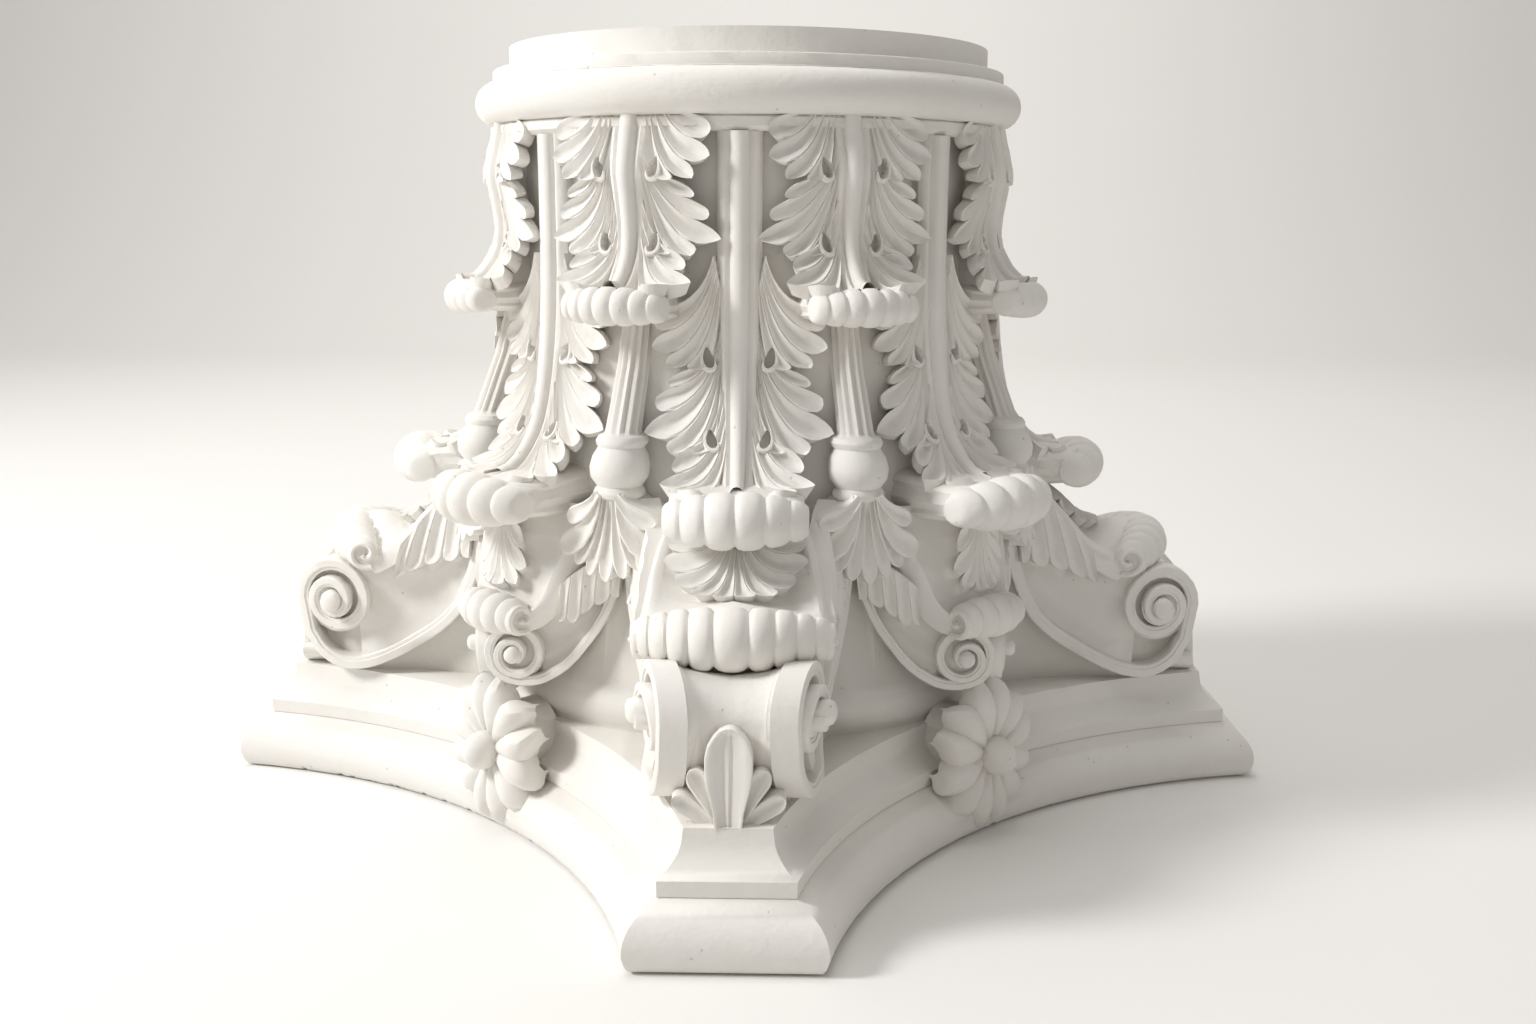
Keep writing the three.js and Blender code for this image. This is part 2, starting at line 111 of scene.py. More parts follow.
FIRST_MIDRIB = [
    (184, 520), (184, 500), (186, 478), (191, 456), (192.5, 444), (189.6, 428), (187.2, 409),
    (189.7, 392), (198, 378), (207, 371), (216, 372), (224, 369), (229, 362),
]
SECOND_MIDRIB = [
    (185, 478), (184, 428), (184.5, 369), (188, 320), (195.5, 282), (206, 262), (219, 249), (236, 245),
    (251, 252), (264, 250), (273, 240),
]
FIRST_CURL = {
    "radius": 216.5, "height": 360.3, "roll": 12.6, "half": 36, "taper": 0.32, "sag": 1, "bow": 6,
    "lobes": (0.7, 0.9, 1.0, 1.1, 1.0, 0.9, 0.7),
}
SECOND_CURL = {
    "radius": 255.5, "height": 233, "roll": 18.4, "half": 46, "taper": 0.46, "sag": 2, "bow": 9,
    "lobes": (0.75, 0.95, 1.15, 1.15, 0.95, 0.75),
}
HORN_CURL = {
    "radius": 305.5, "height": 172, "roll": 19.6, "half": 59, "taper": 0.42, "sag": 4.5, "bow": 14.5,
    "lobes": (0.72, 0.88, 1.0, 1.15, 1.6, 1.15, 1.0, 0.88, 0.72),
}
FACE_CURL = {
    "radius": 241, "height": 153.5, "roll": 15, "half": 29, "taper": 0.3, "sag": 1, "bow": 4,
    "lobes": (0.8, 1.0, 1.25, 1.0, 0.8),
}

# The two rows: their blades are measured along the midrib from this height, and stretched beyond
# a distance from it

BLADE_TOP = 478
BLADE_SPAN = (-20, 118)
LATE_STRETCH_FROM = 58
FIRST_ROW = {
    "midrib": FIRST_MIDRIB, "blade_start": 0, "stretch": 0.04, "curl": FIRST_CURL, "band_from": -6,
}
SECOND_ROW = {
    "midrib": SECOND_MIDRIB, "blade_start": 120, "stretch": 0.3, "curl": SECOND_CURL, "band_from": 8,
}

# Leaflets of half a leaf in three groups: each tip is its offset from the midrib and its
# distance along the blade, in fans that spring from the first root to the last

LEAF_FANS = [
    {"tips": [(57, 8), (58, 25), (47, 38), (30, 39)], "roots": [(17, -34), (12, -12)], "lift": 1.6},
    {"tips": [(46, 46), (55, 58), (63, 76), (44, 87), (26, 86)], "roots": [(11.5, 6), (11, 34)], "lift": 0},
    {"tips": [(42, 92), (50, 108), (36, 120)], "roots": [(11, 52), (8, 84)], "lift": 1.0},
]
LEAF_EYES = [(20, 31), (17.5, 78)]
EYE_RADII = (4.6, 6.8)
EYE_LEAN = 0.18
NOTCH_LINE = [(-20, 20), (0, 26), (22, 27), (40, 20), (58, 28), (80, 20), (95, 25), (112, 30)]

# Section of a midrib: offset and lift

MIDRIB_SECTION = [
    (-14.5, -4.2), (-12, -0.4), (-9.5, 0.6), (-6.4, -0.6), (-5.2, 2.6), (-3, 4.4), (0, 4.9), (3, 4.4),
    (5.2, 2.6), (6.4, -0.6), (9.5, 0.6), (12, -0.4), (14.5, -4.2),
]

# Stems: height and radius of each level, the lean of their middle line, and the calyx leaflets as
# root, control, tip, half width, rise of the tip and how proud they lie

CAULICULUS = [
    (372, 10.4), (350, 10.5), (320, 11), (295, 11.6), (279, 12.3), (277, 13), (276, 16), (273, 17.4),
    (270.5, 16.6), (269, 15.4), (267.5, 16), (263, 18.6), (256, 20), (249.5, 19), (245, 15.8),
    (243.5, 14.6), (242, 16.2), (239.5, 17.2), (237, 16.4), (235.5, 14), (228, 13), (215, 12),
]
REEDS, REEDS_END = 12, 278
STEM_LEAN = {"from": 245, "over": 115, "radius": 204, "inward": 29}
CALYX = [
    ((0, 240), (0, 214), (0, 183), 6.0, 1.5, 0),
    ((3, 240), (6, 214), (13, 186), 5.5, 1.0, 1),
    ((6, 240), (11, 214), (25, 192), 6.5, 1.5, 2),
    ((8, 240), (13, 206), (40, 203), 8.5, 5.0, 4),
    ((7, 240), (16, 226), (33, 222), 6.0, 3.0, 6),
]

# Scrolls: sweep of the outer edge in the scroll's own plane, then turns round the eye as degrees
# and radius. The channel follows the first points of the sweep, as many as core says

VOLUTE = {
    "centre": (313, 130),
    "sweep": [
        (189, 190), (193, 170), (199, 152), (206, 136), (214.5, 122), (229, 108), (247, 96), (269, 84),
        (292, 76.5), (311, 76.5), (328, 86), (339, 103),
    ],
    "turns": [
        (0, 30.5), (90, 31), (180, 28.5), (270, 24), (360, 20), (450, 17.5), (540, 14.5), (630, 11.5),
        (720, 8.5),
    ],
    "band": 9.4, "depth": 17, "rise": [(0, 0), (290, 0), (390, 4), (540, 6.5), (720, 9)],
    "eye": 8, "core": 9,
    "top": [(204, 205), (228, 196), (255, 181), (280, 167), (300, 160)],
}
VOLUTE_LINE = [
    (150, 92), (185, 78), (215, 64), (245, 56), (266, 55.5), (284, 56.5), (313, 49.5), (346, 39.5),
]
SPOOL_CORE = np.array([303, 128])
HELIX = {
    "centre": (26, 126),
    "sweep": [
        (102, 190), (99, 173), (90, 151), (78, 133), (64, 117), (48, 106.5), (36, 103.4), (25, 103.8),
        (14, 108), (7.5, 116),
    ],
    "turns": [(0, 20.6), (90, 20.6), (180, 20), (270, 17.5), (360, 13.6), (450, 10.6), (540, 8), (600, 7)],
    "band": 6.6, "depth": 12, "rise": [(0, 0), (200, 0), (360, 2), (600, 4.5)], "eye": 5.6, "core": 6,
    "top": [(96, 204), (84, 190), (66, 170), (48, 156), (34, 148)],
}
HELIX_APEX = (252.0, 0.0)
HELIX_RUN = np.array([-62.0, 72.0]) / math.hypot(62, 72)

# Flutes that hang over the scrolls, from tops on the leaf's rim to tips on the scroll's face

VOLUTE_SKIRT = {
    "tops": [(196, 64, 236), (208, 60, 226), (221, 58, 214), (238, 60, 197), (258, 62, 174)],
    "tips": [(204, 168), (219, 164), (234, 161), (249, 155), (263, 149)], "lift": 4,
}
HELIX_SKIRT = {
    "tops": [(104, 204, 5), (94, 199, 6), (82, 192, 6), (70, 184, 6), (60, 176, 6)],
    "tips": [(99, 168, 3), (87, 163, 3), (77, 157, 3), (68, 149, 3), (58, 150, 3)],
}

# Leaflets in the middle of the leaves that are laid over the scrolls

HORN_FAN = {
    "tips": [(35, 26), (45, 44), (46, 62), (37, 75), (24, 82), (8, 84)], "roots": [(8, 12), (0, 44)],
    "lift": 1.2, "rows": 9, "depth": 2.6, "tip_lift": 3.0, "notch": 0.16,
}
FACE_FAN = {
    "tips": [(22, 34), (26, 50), (20, 64), (7, 70)], "roots": [(6, 18), (0, 32)],
    "lift": 1.2, "rows": 8, "depth": 2.2, "tip_lift": 2.4, "notch": 0.16,
}

# A petal of the rosette: reach, half width and lift of its rows, then its section as share of the
# half width, puff and notch of the tip

ROSETTE_PLACE = (245, 56)
PETALS = 6
PETAL_ROWS = [
    (5, 5, -1), (12, 9, 1), (20, 14, 3.5), (28, 18.5, 5.5), (36, 21.5, 6), (43, 22, 4.5), (48, 20.5, 1.5),
    (52, 17.5, -3), (54, 14, -8), (53, 12.5, -14),
]
PETAL_SECTION = [
    (-1, -11, 0), (-0.93, -6, 0.3), (-0.75, -2.2, 0.9), (-0.5, 0, 1), (-0.25, -0.5, 0.6),
    (-0.08, -2.6, 0.1), (0, -4.6, 0), (0.08, -2.6, 0.1), (0.25, -0.5, 0.6), (0.5, 0, 1),
    (0.75, -2.2, 0.9), (0.93, -6, 0.3), (1, -11, 0),
]

# The palmette: height and half width of its rows from its foot up, then its section as share of the
# half width and lift

PALMETTE_FOOT = ABACUS_TOP - 3
PALMETTE_ROWS = [
    (PALMETTE_FOOT, 8), (80, 9), (88, 11), (96, 13), (104, 14), (112, 14), (119, 12.4), (124.5, 9.2),
    (128, 5.6), (129.6, 1.6),
]
PALMETTE_SECTION = [
    (-1, 0), (-0.96, 2.6), (-0.84, 2.8), (-0.6, 1.4), (-0.3, 1.0), (-0.18, 0.4), (0, 1.2), (0.18, 0.4),
    (0.3, 1.0), (0.6, 1.4), (0.84, 2.8), (0.96, 2.6), (1, 0),
]

# Camera as solved from the photograph: its turn round the capital is in degrees, the other angles
# are in radians, and its distance and height are in metres

CAMERA = {
    "turn": 46.74, "yaw": 0.01338, "pitch": 0.18797, "roll": 0.00539, "distance": 1.19032,
    "height": 0.41687, "focal_pixels": 1553.8, "image_width": 1536,
}

# Studio: places are metres to the camera's right, ahead of it and up, from the capital's foot.
# A light has its name, place, aim, size, power and colour

FLOOR = {"reach": 9.0, "bend_from": 3.5, "bend_radius": 2, "wall": 5.0, "drop": 0.0012}
MIDDLE = (0, 0, 0.25)
WARM, NEUTRAL = (1.0, 0.985, 0.965), (1.0, 0.995, 0.985)
LIGHTS = [
    ("Window", (-2.8, -0.8, 2.1), MIDDLE, 0.9, 92, NEUTRAL),
    ("Ceiling", (-0.4, 0.2, 3.4), MIDDLE, 2.6, 42, WARM),
    ("Backdrop", (0, 2.6, 3.6), (0, 5.5, 0.8), 3.0, 60, WARM),
]
WORLD = {"Color": (1.0, 0.975, 0.94, 1), "Strength": 0.37}


# Solids are pairs of points and triangles

def weld(points, faces):
    """Closed solid from points and polygons: equal points are merged, and it is turned outwards."""
    points = np.asarray(points, float)
    _, first, inverse = np.unique(np.round(points, 3), axis=0, return_index=True, return_inverse=True)
    inverse = inverse.reshape(-1)
    triangles = []
    for face in faces:
        corners = [inverse[i] for i in face]
        for i in range(1, len(corners) - 1):
            triangle = (corners[0], corners[i], corners[i + 1])
            if len(set(triangle)) == 3:
                triangles.append(triangle)
    points, triangles = points[first], np.array(triangles)
    a, b, c = (points[triangles[:, i]] for i in range(3))
    if np.einsum("ij,ij->i", a, np.cross(b, c)).sum() < 0:
        triangles = triangles[:, ::-1]
    return points, triangles


def slab(front, back):
    """Solid between two grids of points, with walls round their border."""
    rows, columns = front.shape[:2]
    f = np.arange(rows * columns).reshape(rows, columns)
    b = f + rows * columns
    faces = []
    for i in range(rows - 1):
        for j in range(columns - 1):
            faces.append((f[i, j], f[i + 1, j], f[i + 1, j + 1], f[i, j + 1]))
            faces.append((b[i, j], b[i, j + 1], b[i + 1, j + 1], b[i + 1, j]))
    for j in range(columns - 1):
        faces.append((f[0, j], f[0, j + 1], b[0, j + 1], b[0, j]))
        faces.append((f[-1, j + 1], f[-1, j], b[-1, j], b[-1, j + 1]))
    for i in range(rows - 1):
        faces.append((f[i + 1, 0], f[i, 0], b[i, 0], b[i + 1, 0]))
        faces.append((f[i, -1], f[i + 1, -1], b[i + 1, -1], b[i, -1]))
    return weld(np.concatenate([front.reshape(-1, 3), back.reshape(-1, 3)]), faces)


def tube(rings):
    """Solid through rings of points, capped at both ends."""
    rings = np.asarray(rings, float)
    rows, sides = rings.shape[:2]
    n = np.arange(rows * sides).reshape(rows, sides)
    faces = []
    for i in range(rows - 1):
        for j in range(sides):
            k = (j + 1) % sides
            faces.append((n[i, j], n[i, k], n[i + 1, k], n[i + 1, j]))
    points = list(rings.reshape(-1, 3))
    for ring, order in ((0, 1), (rows - 1, -1)):
        centre = len(points)
        points.append(rings[ring].mean(axis=0))
        for j in range(sides):
            edge = (n[ring, (j + 1) % sides], n[ring, j])
            faces.append((centre, *edge[::order]))
    return weld(points, faces)


def whole_turn(steps):
    return np.linspace(0, 2 * math.pi, steps, endpoint=False)


def turned(solid, degrees):
    a = math.radians(degrees)
    spin = np.array([[math.cos(a), math.sin(a), 0], [-math.sin(a), math.cos(a), 0], [0, 0, 1]])
    return solid[0] @ spin, solid[1]


def mirrored(solid):
    return solid[0] * [1, -1, 1], solid[1][:, ::-1]


def both(solids):
    return [*solids, *(mirrored(s) for s in solids)]


def ring_of(solids, first, count):
    return [turned(s, first + i * 360 / count) for i in range(count) for s in solids]


def around(radius, offset, height):
    """Points at a radius from the axis, moved sideways along the arc by an offset."""
    radius, offset, height = np.broadcast_arrays(radius, offset, height)
    angle = offset / radius
    return np.stack([radius * np.cos(angle), radius * np.sin(angle), height], -1)


def lookup(table, x):
    """Second column of a table at x of its first column."""
    xs, ys = zip(*sorted(table))
    return np.interp(x, xs, ys)


def sampled(line, at, x):
    """Points at x of a line whose own points lie at the given places."""
    return np.stack([np.interp(x, at, column) for column in np.asarray(line, float).T], -1)


def left_of(line):
    """Unit directions to the left of a line in its plane."""
    along = np.gradient(line, axis=0)
    along /= np.linalg.norm(along, axis=1, keepdims=True)
    return np.stack([-along[:, 1], along[:, 0]], -1)


def bell_radius(height):
    return lookup([(z, r) for r, z in BELL_PROFILE], height)


def flowing(points, steps=10):
    """Smooth line through a few points."""
    p = np.asarray(points, float)
    p = np.vstack([2 * p[0] - p[1], p, 2 * p[-1] - p[-2]])
    u = np.linspace(0, 1, steps, endpoint=False)[:, None]
    line = [
        0.5 * (2 * b + (c - a) * u + (2 * a - 5 * b + 4 * c - d) * u**2 + (3 * b - a - 3 * c + d) * u**3)
        for a, b, c, d in zip(p[:-3], p[1:-2], p[2:-1], p[3:])
    ]
    return np.vstack([*line, p[-2:-1]])


class Track:
    """A line of radius and height, measured along its length from a starting height."""

    BACK_DEPTH, BACK_WIDTH = 4.0, 0.86
    UNDER_DEPTH, UNDER_WIDTH = 7.0, 0.88

    def __init__(self, points, start_height):
        self.line = flowing(points)
        steps = np.hypot(*np.diff(self.line, axis=0).T)
        self.along = np.concatenate([[0], np.cumsum(steps)])
        start = np.interp(-start_height, -self.line[:, 1], self.along)
        self.along -= start
        tangent = np.gradient(self.line, self.along, axis=0)
        self.tangent = tangent / np.linalg.norm(tangent, axis=1, keepdims=True)

    def lay(self, offset, along, lift):
        radius, height, out_r, out_z = (
            np.interp(along, self.along, column)
            for column in (self.line[:, 0], self.line[:, 1], -self.tangent[:, 1], self.tangent[:, 0])
        )
        return around(radius + out_r * lift, offset, height + out_z * lift)

    def back(self, offset, along):
        """Back of the blade, sunk into the bell."""
        height = np.interp(along, self.along, self.line[:, 1])
        return around(bell_radius(height) - self.BACK_DEPTH, offset * self.BACK_WIDTH, height)

    def under(self, offset, along):
        """Back of a leaflet, which stands free of the bell."""
        return self.lay(offset * self.UNDER_WIDTH, along, -self.UNDER_DEPTH + 0 * offset)


# Leaflets: places across one of them, and how deep it is hollowed there

ACROSS = np.array([0.0, 0.07, 0.18, 0.34, 0.5, 0.66, 0.82, 0.93])
HOLLOW = np.array([-0.45, -0.02, -0.2, -0.8, -1.0, -0.8, -0.2, -0.02])


def rounded(share):
    """How far the outline of a round leaflet falls back from its tip across its width."""
    return 1 - np.sqrt(1 - (2 * share - 1) ** 2)


def side_by_side(count):
    """Places across a row of leaflets, their hollow there, and the share of each leaflet's width."""
    places = np.append((np.arange(count)[:, None] + ACROSS).reshape(-1), count)
    return places, np.append(np.tile(HOLLOW, count), HOLLOW[0]), np.append(np.tile(ACROSS, count), 0.0)


def fan_grid(tips, roots, rows, depth, tip_lift, notch):
    """Offsets, distances and lifts of a fan of hollow leaflets that share their sides."""
    tips = np.asarray(tips, float)
    count = len(tips)
    v, hollow, share = side_by_side(count)
    before, after = tips[0] + 0.5 * (tips[0] - tips[1]), tips[-1] + 0.5 * (tips[-1] - tips[-2])
    at = np.concatenate([[0], np.arange(count) + 0.5, [count]])
    tip = sampled(np.vstack([before, tips, after]), at, v)
    first, last = np.asarray(roots, float)
    root = first + (last - first) * (v / count)[:, None]
    reached = tip - root
    bend = 0.98 - 0.2 * v / count
    control = np.stack([root[:, 0] + 0.2 * reached[:, 0], root[:, 1] + bend * reached[:, 1]], -1)
    reach = 1 - notch * rounded(share)
    steps = np.linspace(0, 1, rows) ** 0.9
    steps[-2] = 0.955
    u = steps[:, None] * reach[None, :]
    u = u[..., None]
    line = (1 - u) ** 2 * root + 2 * u * (1 - u) * control + u**2 * tip
    deep = depth * np.interp(steps, [0, 0.15, 0.7, 0.9, 0.96, 1], [0.3, 0.7, 1, 0.85, 0.6, 0])[:, None]
    lift = deep * hollow + tip_lift * steps[:, None] ** 2
    return line[..., 0], line[..., 1], lift


def fan(track, tips, roots, lift, rows=10, depth=3.4, tip_lift=2.0, notch=0.2):
    offset, along, rise = fan_grid(tips, roots, rows, depth, tip_lift, notch)
    return slab(track.lay(offset, along, lift + rise), track.under(offset, along))


def spoon(root, control, tip, half_width, place, rows=9, depth=3.0, rise=0.0, back=12.0, waist=0.35):
    """One hollow leaflet with a round tip. place puts a drawn point and its lift in space."""
    root, control, tip = (np.asarray(p, float) for p in (root, control, tip))
    u = np.append(np.linspace(0, 0.8, rows - 4), [0.88, 0.94, 0.98, 1.0])[:, None]
    line = (1 - u) ** 2 * root + 2 * u * (1 - u) * control + u**2 * tip
    side = left_of(line)
    round_tip = np.sqrt(np.clip(1 - ((u[:, 0] - 0.75) / 0.25).clip(0) ** 2, 0.002, 1))
    swell = np.interp(u[:, 0], [0, 0.7, 0.85], [waist, 1, 1]) * round_tip
    v = np.array([-1, -0.8, -0.4, 0, 0.4, 0.8, 1.0])
    hollow = np.array([-0.2, 0, -0.8, -1, -0.8, 0, -0.2])
    p = line[:, None] + (half_width * swell)[:, None, None] * v[None, :, None] * side[:, None]
    deep = depth * np.interp(u[:, 0], [0, 0.2, 0.8, 0.95, 1], [0.3, 0.8, 1, 0.6, 0])[:, None]
    lift = deep * hollow + rise * u**2
    return slab(place(p[..., 0], p[..., 1], lift), place(p[..., 0], p[..., 1], np.full_like(lift, -back)))


def gadroons(curl, sides=22, steps=8):
    """Roll of rounded lobes with sharp grooves between them, bowed and drawn in towards its ends."""
    lobes = np.array(curl["lobes"])
    edges = np.concatenate([[0], np.cumsum(lobes)]) / lobes.sum() * 2 - 1
    share = 0.5 - 0.5 * np.cos(np.linspace(0, math.pi, steps, endpoint=False))
    a = np.append((edges[:-1, None] + share * np.diff(edges)[:, None]).reshape(-1), 1.0)
    swell = np.append(np.tile(1 - np.abs(2 * share - 1) ** 3.4, len(lobes)), 0.0)
    girth = curl["roll"] * (1 - curl["taper"] * np.abs(a) ** 2.2) * (0.83 + 0.17 * swell)
    girth[[0, -1]] *= 0.8
    angle = whole_turn(sides)
    radius = curl["radius"] - curl["bow"] * np.abs(a) ** 1.8
    height = curl["height"] - curl["sag"] * a**2
    return tube(around(
        radius[:, None] + girth[:, None] * np.cos(angle), (a * curl["half"])[:, None],
        height[:, None] + girth[:, None] * np.sin(angle),
    ))


def snail(curl, wound=440):
    """Rim of a leaf, wound into a spiral on the end of its roll."""
    degrees = np.linspace(0, wound, 24)
    size = curl["roll"] * (1 - curl["taper"])
    radius = size * np.interp(degrees, [0, 120, wound], [1.0, 0.86, 0.14])
    out = curl["half"] * np.interp(degrees, [0, wound], [0.96, 1.03])
    a = np.radians(degrees - 117)
    width = size * np.interp(degrees, [0, wound], [0.24, 0.2])
    centre, height = curl["radius"] - curl["bow"], curl["height"] - curl["sag"]
    rings = []
    for bend, r, w, y in zip(a, radius, width, out):
        ring = [(r + w * math.cos(t), y + 1.5 * w * math.sin(t)) for t in whole_turn(8)]
        rings.append([around(centre + q * math.cos(bend), o, height + q * math.sin(bend)) for q, o in ring])
    return tube(rings)


def tongue(curl, low, top):
    """Thick underside of a curled leaf, rippled along its sides, from the bell to the roll."""
    angle = whole_turn(30)
    across, up = np.cos(angle), np.sin(angle)
    across = np.sign(across) * np.abs(across) ** 0.35
    up = np.sign(up) * np.abs(up) ** 0.6
    rings = []
    middle = (low + top) / 2
    for share in np.linspace(0, 1, 6):
        start = curl["radius"] - curl["bow"] * across**2
        radius = start + (bell_radius(middle) - 5 - start) * share
        tall = np.interp(share, [0, 1], [curl["roll"] * 0.66, (top - low) / 2])
        height = np.interp(share, [0, 1], [curl["height"], middle]) + up * tall
        ripple = 1 - 0.035 * (1 - np.cos(3 * math.pi * up)) * np.interp(share, [0, 0.3, 1], [0, 1, 1])
        wide = curl["half"] * np.interp(share, [0, 0.3, 1], [0.93, 0.99, 0.92]) * ripple
        rings.append(around(radius, across * wide, height))
    return tube(rings)


def eye_width(down):
    """Share of an eye's width from its pointed foot, at -1, to its round head, at 1."""
    return 0.42 + 0.58 * ((down + 1) / 2) ** 0.8


def eye_plug(track, offset, along):
    """Solid that opens an eye, pointed towards the leaf's root."""
    turn = whole_turn(12)
    half_width, half_length = EYE_RADII
    across = half_width * np.sin(turn) * eye_width(-np.cos(turn))
    down = half_length * -np.cos(turn)
    return tube([track.lay(offset + across - EYE_LEAN * down, along + down, lift) for lift in (-7, 9)])


def eye_rim(track, offset, along, lift):
    """Raised curl round the foot and the outer side of an eye."""
    steps = 12
    turn = np.radians(np.linspace(40, 250, steps))
    half_width, half_length = EYE_RADII
    down = -np.cos(turn)
    bead = np.interp(np.linspace(0, 1, steps), [0, 0.5, 0.85, 1], [0.6, 1.9, 1.8, 0.7])[:, None]
    section = whole_turn(6)[None, :]
    out = 0.6 * bead + bead * np.cos(section)
    x = (half_width * eye_width(down))[:, None] + out
    y = half_length + out
    return tube(track.lay(
        offset + x * np.sin(turn)[:, None] - EYE_LEAN * (half_length * down)[:, None],
        along + y * down[:, None], lift + bead * np.sin(section),
    ))


def leaf(midrib, blade_start, stretch, curl, band_from):
    """Solids of one acanthus leaf on +X, and the plugs that open its eyes."""
    track = Track(midrib, BLADE_TOP)

    def along(t):
        return blade_start + t + stretch * np.maximum(0, np.asarray(t, float) - LATE_STRETCH_FROM)

    end = along(BLADE_SPAN[1])
    t = np.linspace(*BLADE_SPAN, 17)
    half = np.interp(t, *zip(*NOTCH_LINE))[:, None]
    offset = np.linspace(-1, 1, 9)[None, :] * half
    down = along(t)[:, None] + 0 * offset
    front = track.lay(offset, down, -3.6 - 0.004 * offset**2)
    back = track.back(offset, down)
    low = curl["height"] - 0.95 * curl["roll"]
    solids = [slab(front, back), tongue(curl, low, curl["height"] + 1.05 * curl["roll"])]

    s, rib = np.array(MIDRIB_SECTION).T
    t = np.linspace(band_from, float(end) + 4, 26)[:, None]
    taper = np.interp(t, [band_from, float(along(0)), float(end)], [1, 1, 0.72])
    solids.append(slab(track.lay(s * taper, t + 0 * s, rib + 0 * t), track.back(s * taper, t + 0 * s)))

    half_leaf, plugs = [], []
    for group in LEAF_FANS:
        tips = [(x, float(along(y))) for x, y in group["tips"]]
        roots = [(x, float(along(y))) for x, y in group["roots"]]
        half_leaf.append(fan(track, tips, roots, group["lift"]))
    for x, y in LEAF_EYES:
        plugs.append(eye_plug(track, x, float(along(y))))
        half_leaf.append(eye_rim(track, x, float(along(y)), 0.6))
    return solids + both(half_leaf) + [gadroons(curl)], both(plugs)


# Stems

def stem_centre(height):
    u = np.clip((np.asarray(height, float) - STEM_LEAN["from"]) / STEM_LEAN["over"], 0, 1)
    return STEM_LEAN["radius"] - STEM_LEAN["inward"] * u * u * (3 - 2 * u)


def cauliculus():
    """Stem, reeded above its two beads."""
    sides = 4 * REEDS
    angle = whole_turn(sides)
    reed = 1 - 0.15 * np.abs(np.cos(angle * REEDS / 2)) ** 3
    rings = []
    for height, radius in CAULICULUS:
        r = radius * (reed if height > REEDS_END else np.ones(sides))
        x, y = stem_centre(height) + r * np.cos(angle), r * np.sin(angle)
        rings.append(np.stack([x, y, np.full(sides, height)], -1))
    return tube(rings)


def calyx():
    """Leaflets that hang from a stem's foot over the bell."""
    def place(x, z, lift):
        drop = np.clip((238 - z) / 50, 0, 1)
        return around(217 + 7 * drop + lift - 0.008 * x * x, x, z)

    def leaflet(root, control, tip, half_width, rise, proud):
        def raised(x, z, lift):
            return place(x, z, lift + proud)

        return spoon(root, control, tip, half_width, raised, depth=2.6, rise=rise, back=30)

    middle, *others = [leaflet(*sizes) for sizes in CALYX]
    return [middle, *both(others)]


# Scrolls

def spiral(scroll, steps=22):
    """Outer edge of a scroll's band: its sweep, then its turns."""
    sweep = flowing(scroll["sweep"], 3)
    angles, radii = zip(*scroll["turns"])
    degrees = np.linspace(angles[0], angles[-1], int(steps * (angles[-1] - angles[0]) / 360))
    radius = np.interp(degrees, angles, radii)
    a = np.radians(degrees)
    side = math.copysign(1, scroll["sweep"][-1][0] - scroll["sweep"][0][0])
    x, z = scroll["centre"]
    turns = np.stack([x + side * radius * np.cos(a), z + radius * np.sin(a)], -1)
    return sweep, turns, degrees


def band(scroll, lay, hand):
    """The band itself, with a thin outer rim, a step and a square inner edge."""
    sweep, turns, wound = spiral(scroll)
    outer = np.vstack([sweep, turns])
    inward = hand * left_of(outer)
    wound = np.concatenate([np.zeros(len(sweep)), wound])
    width = scroll["band"] * (1 - 0.3 * wound / wound[-1])
    rise = lookup(scroll["rise"], wound)
    section = [(0, -0.9), (0.1, 0), (0.62, 0), (0.68, -1.0), (0.92, -1.2), (1, -2.4)]
    rings = []
    for point, side, w, up in zip(outer, inward, width, rise):
        face = [(share, lift + up) for share, lift in section]
        whole = [(0, -scroll["depth"]), *face, (1, -scroll["depth"])]
        rings.append([lay(*(point + side * w * share), lift) for share, lift in whole])
    return tube(rings)


def disc(centre, radius, low, levels, sides, lay):
    """Round boss from a low level up: levels are share of the radius and lift."""
    x, z = centre

    def ring(r, lift):
        return [lay(x + r * math.cos(a), z + r * math.sin(a), lift) for a in whole_turn(sides)]

    return tube([ring(radius * share, lift) for share, lift in [(1, low), *levels]])


def between(scroll, columns):
    """Matching points along the sweep and along the top line of a scroll."""
    pick = np.linspace(0, 1, columns)
    lines = []
    for points in (scroll["sweep"][:scroll["core"]], scroll["top"]):
        line = flowing(points, 6)
        lines.append(sampled(line, np.linspace(0, 1, len(line)), pick))
    return lines


def channel(scroll, lay, other_side):
    """Body between a pair of scrolls: each of its faces is a hollow channel."""
    front, back = [], []
    across = np.linspace(0.02, 1, 11)
    for a, b in zip(*between(scroll, 18)):
        row = [(a + (b - a) * v, -2.4 - 7.5 * math.sin(math.pi * v) ** 0.8) for v in across]
        front.append([lay(*p, lift) for p, lift in row])
        back.append([other_side(*p, lift) for p, lift in row])
    return slab(np.array(front), np.array(back))


def volute_lay(x, z, out):
    return np.array([x, lookup(VOLUTE_LINE, x) + out, z])


def volute_twin(x, z, out):
    return volute_lay(x, z, out) * [1, -1, 1]


def volutes():
    """One corner's pair of volutes, the channel between them and the flutes that hang on them."""
    centre = VOLUTE["centre"]
    scroll = [
        band(VOLUTE, volute_lay, 1),
        disc(centre, 28, -20, [(1, -9)], 28, volute_lay),
        disc(centre, 15, -20, [(1, -1), (0.94, 0)], 20, volute_lay),
        disc(centre, VOLUTE["eye"], -10, [(1, 8), (0.86, 11), (0.5, 12.6)], 16, volute_lay),
    ]
    return [channel(VOLUTE, volute_lay, volute_twin), spool(), *both([*scroll, volute_skirt()])]


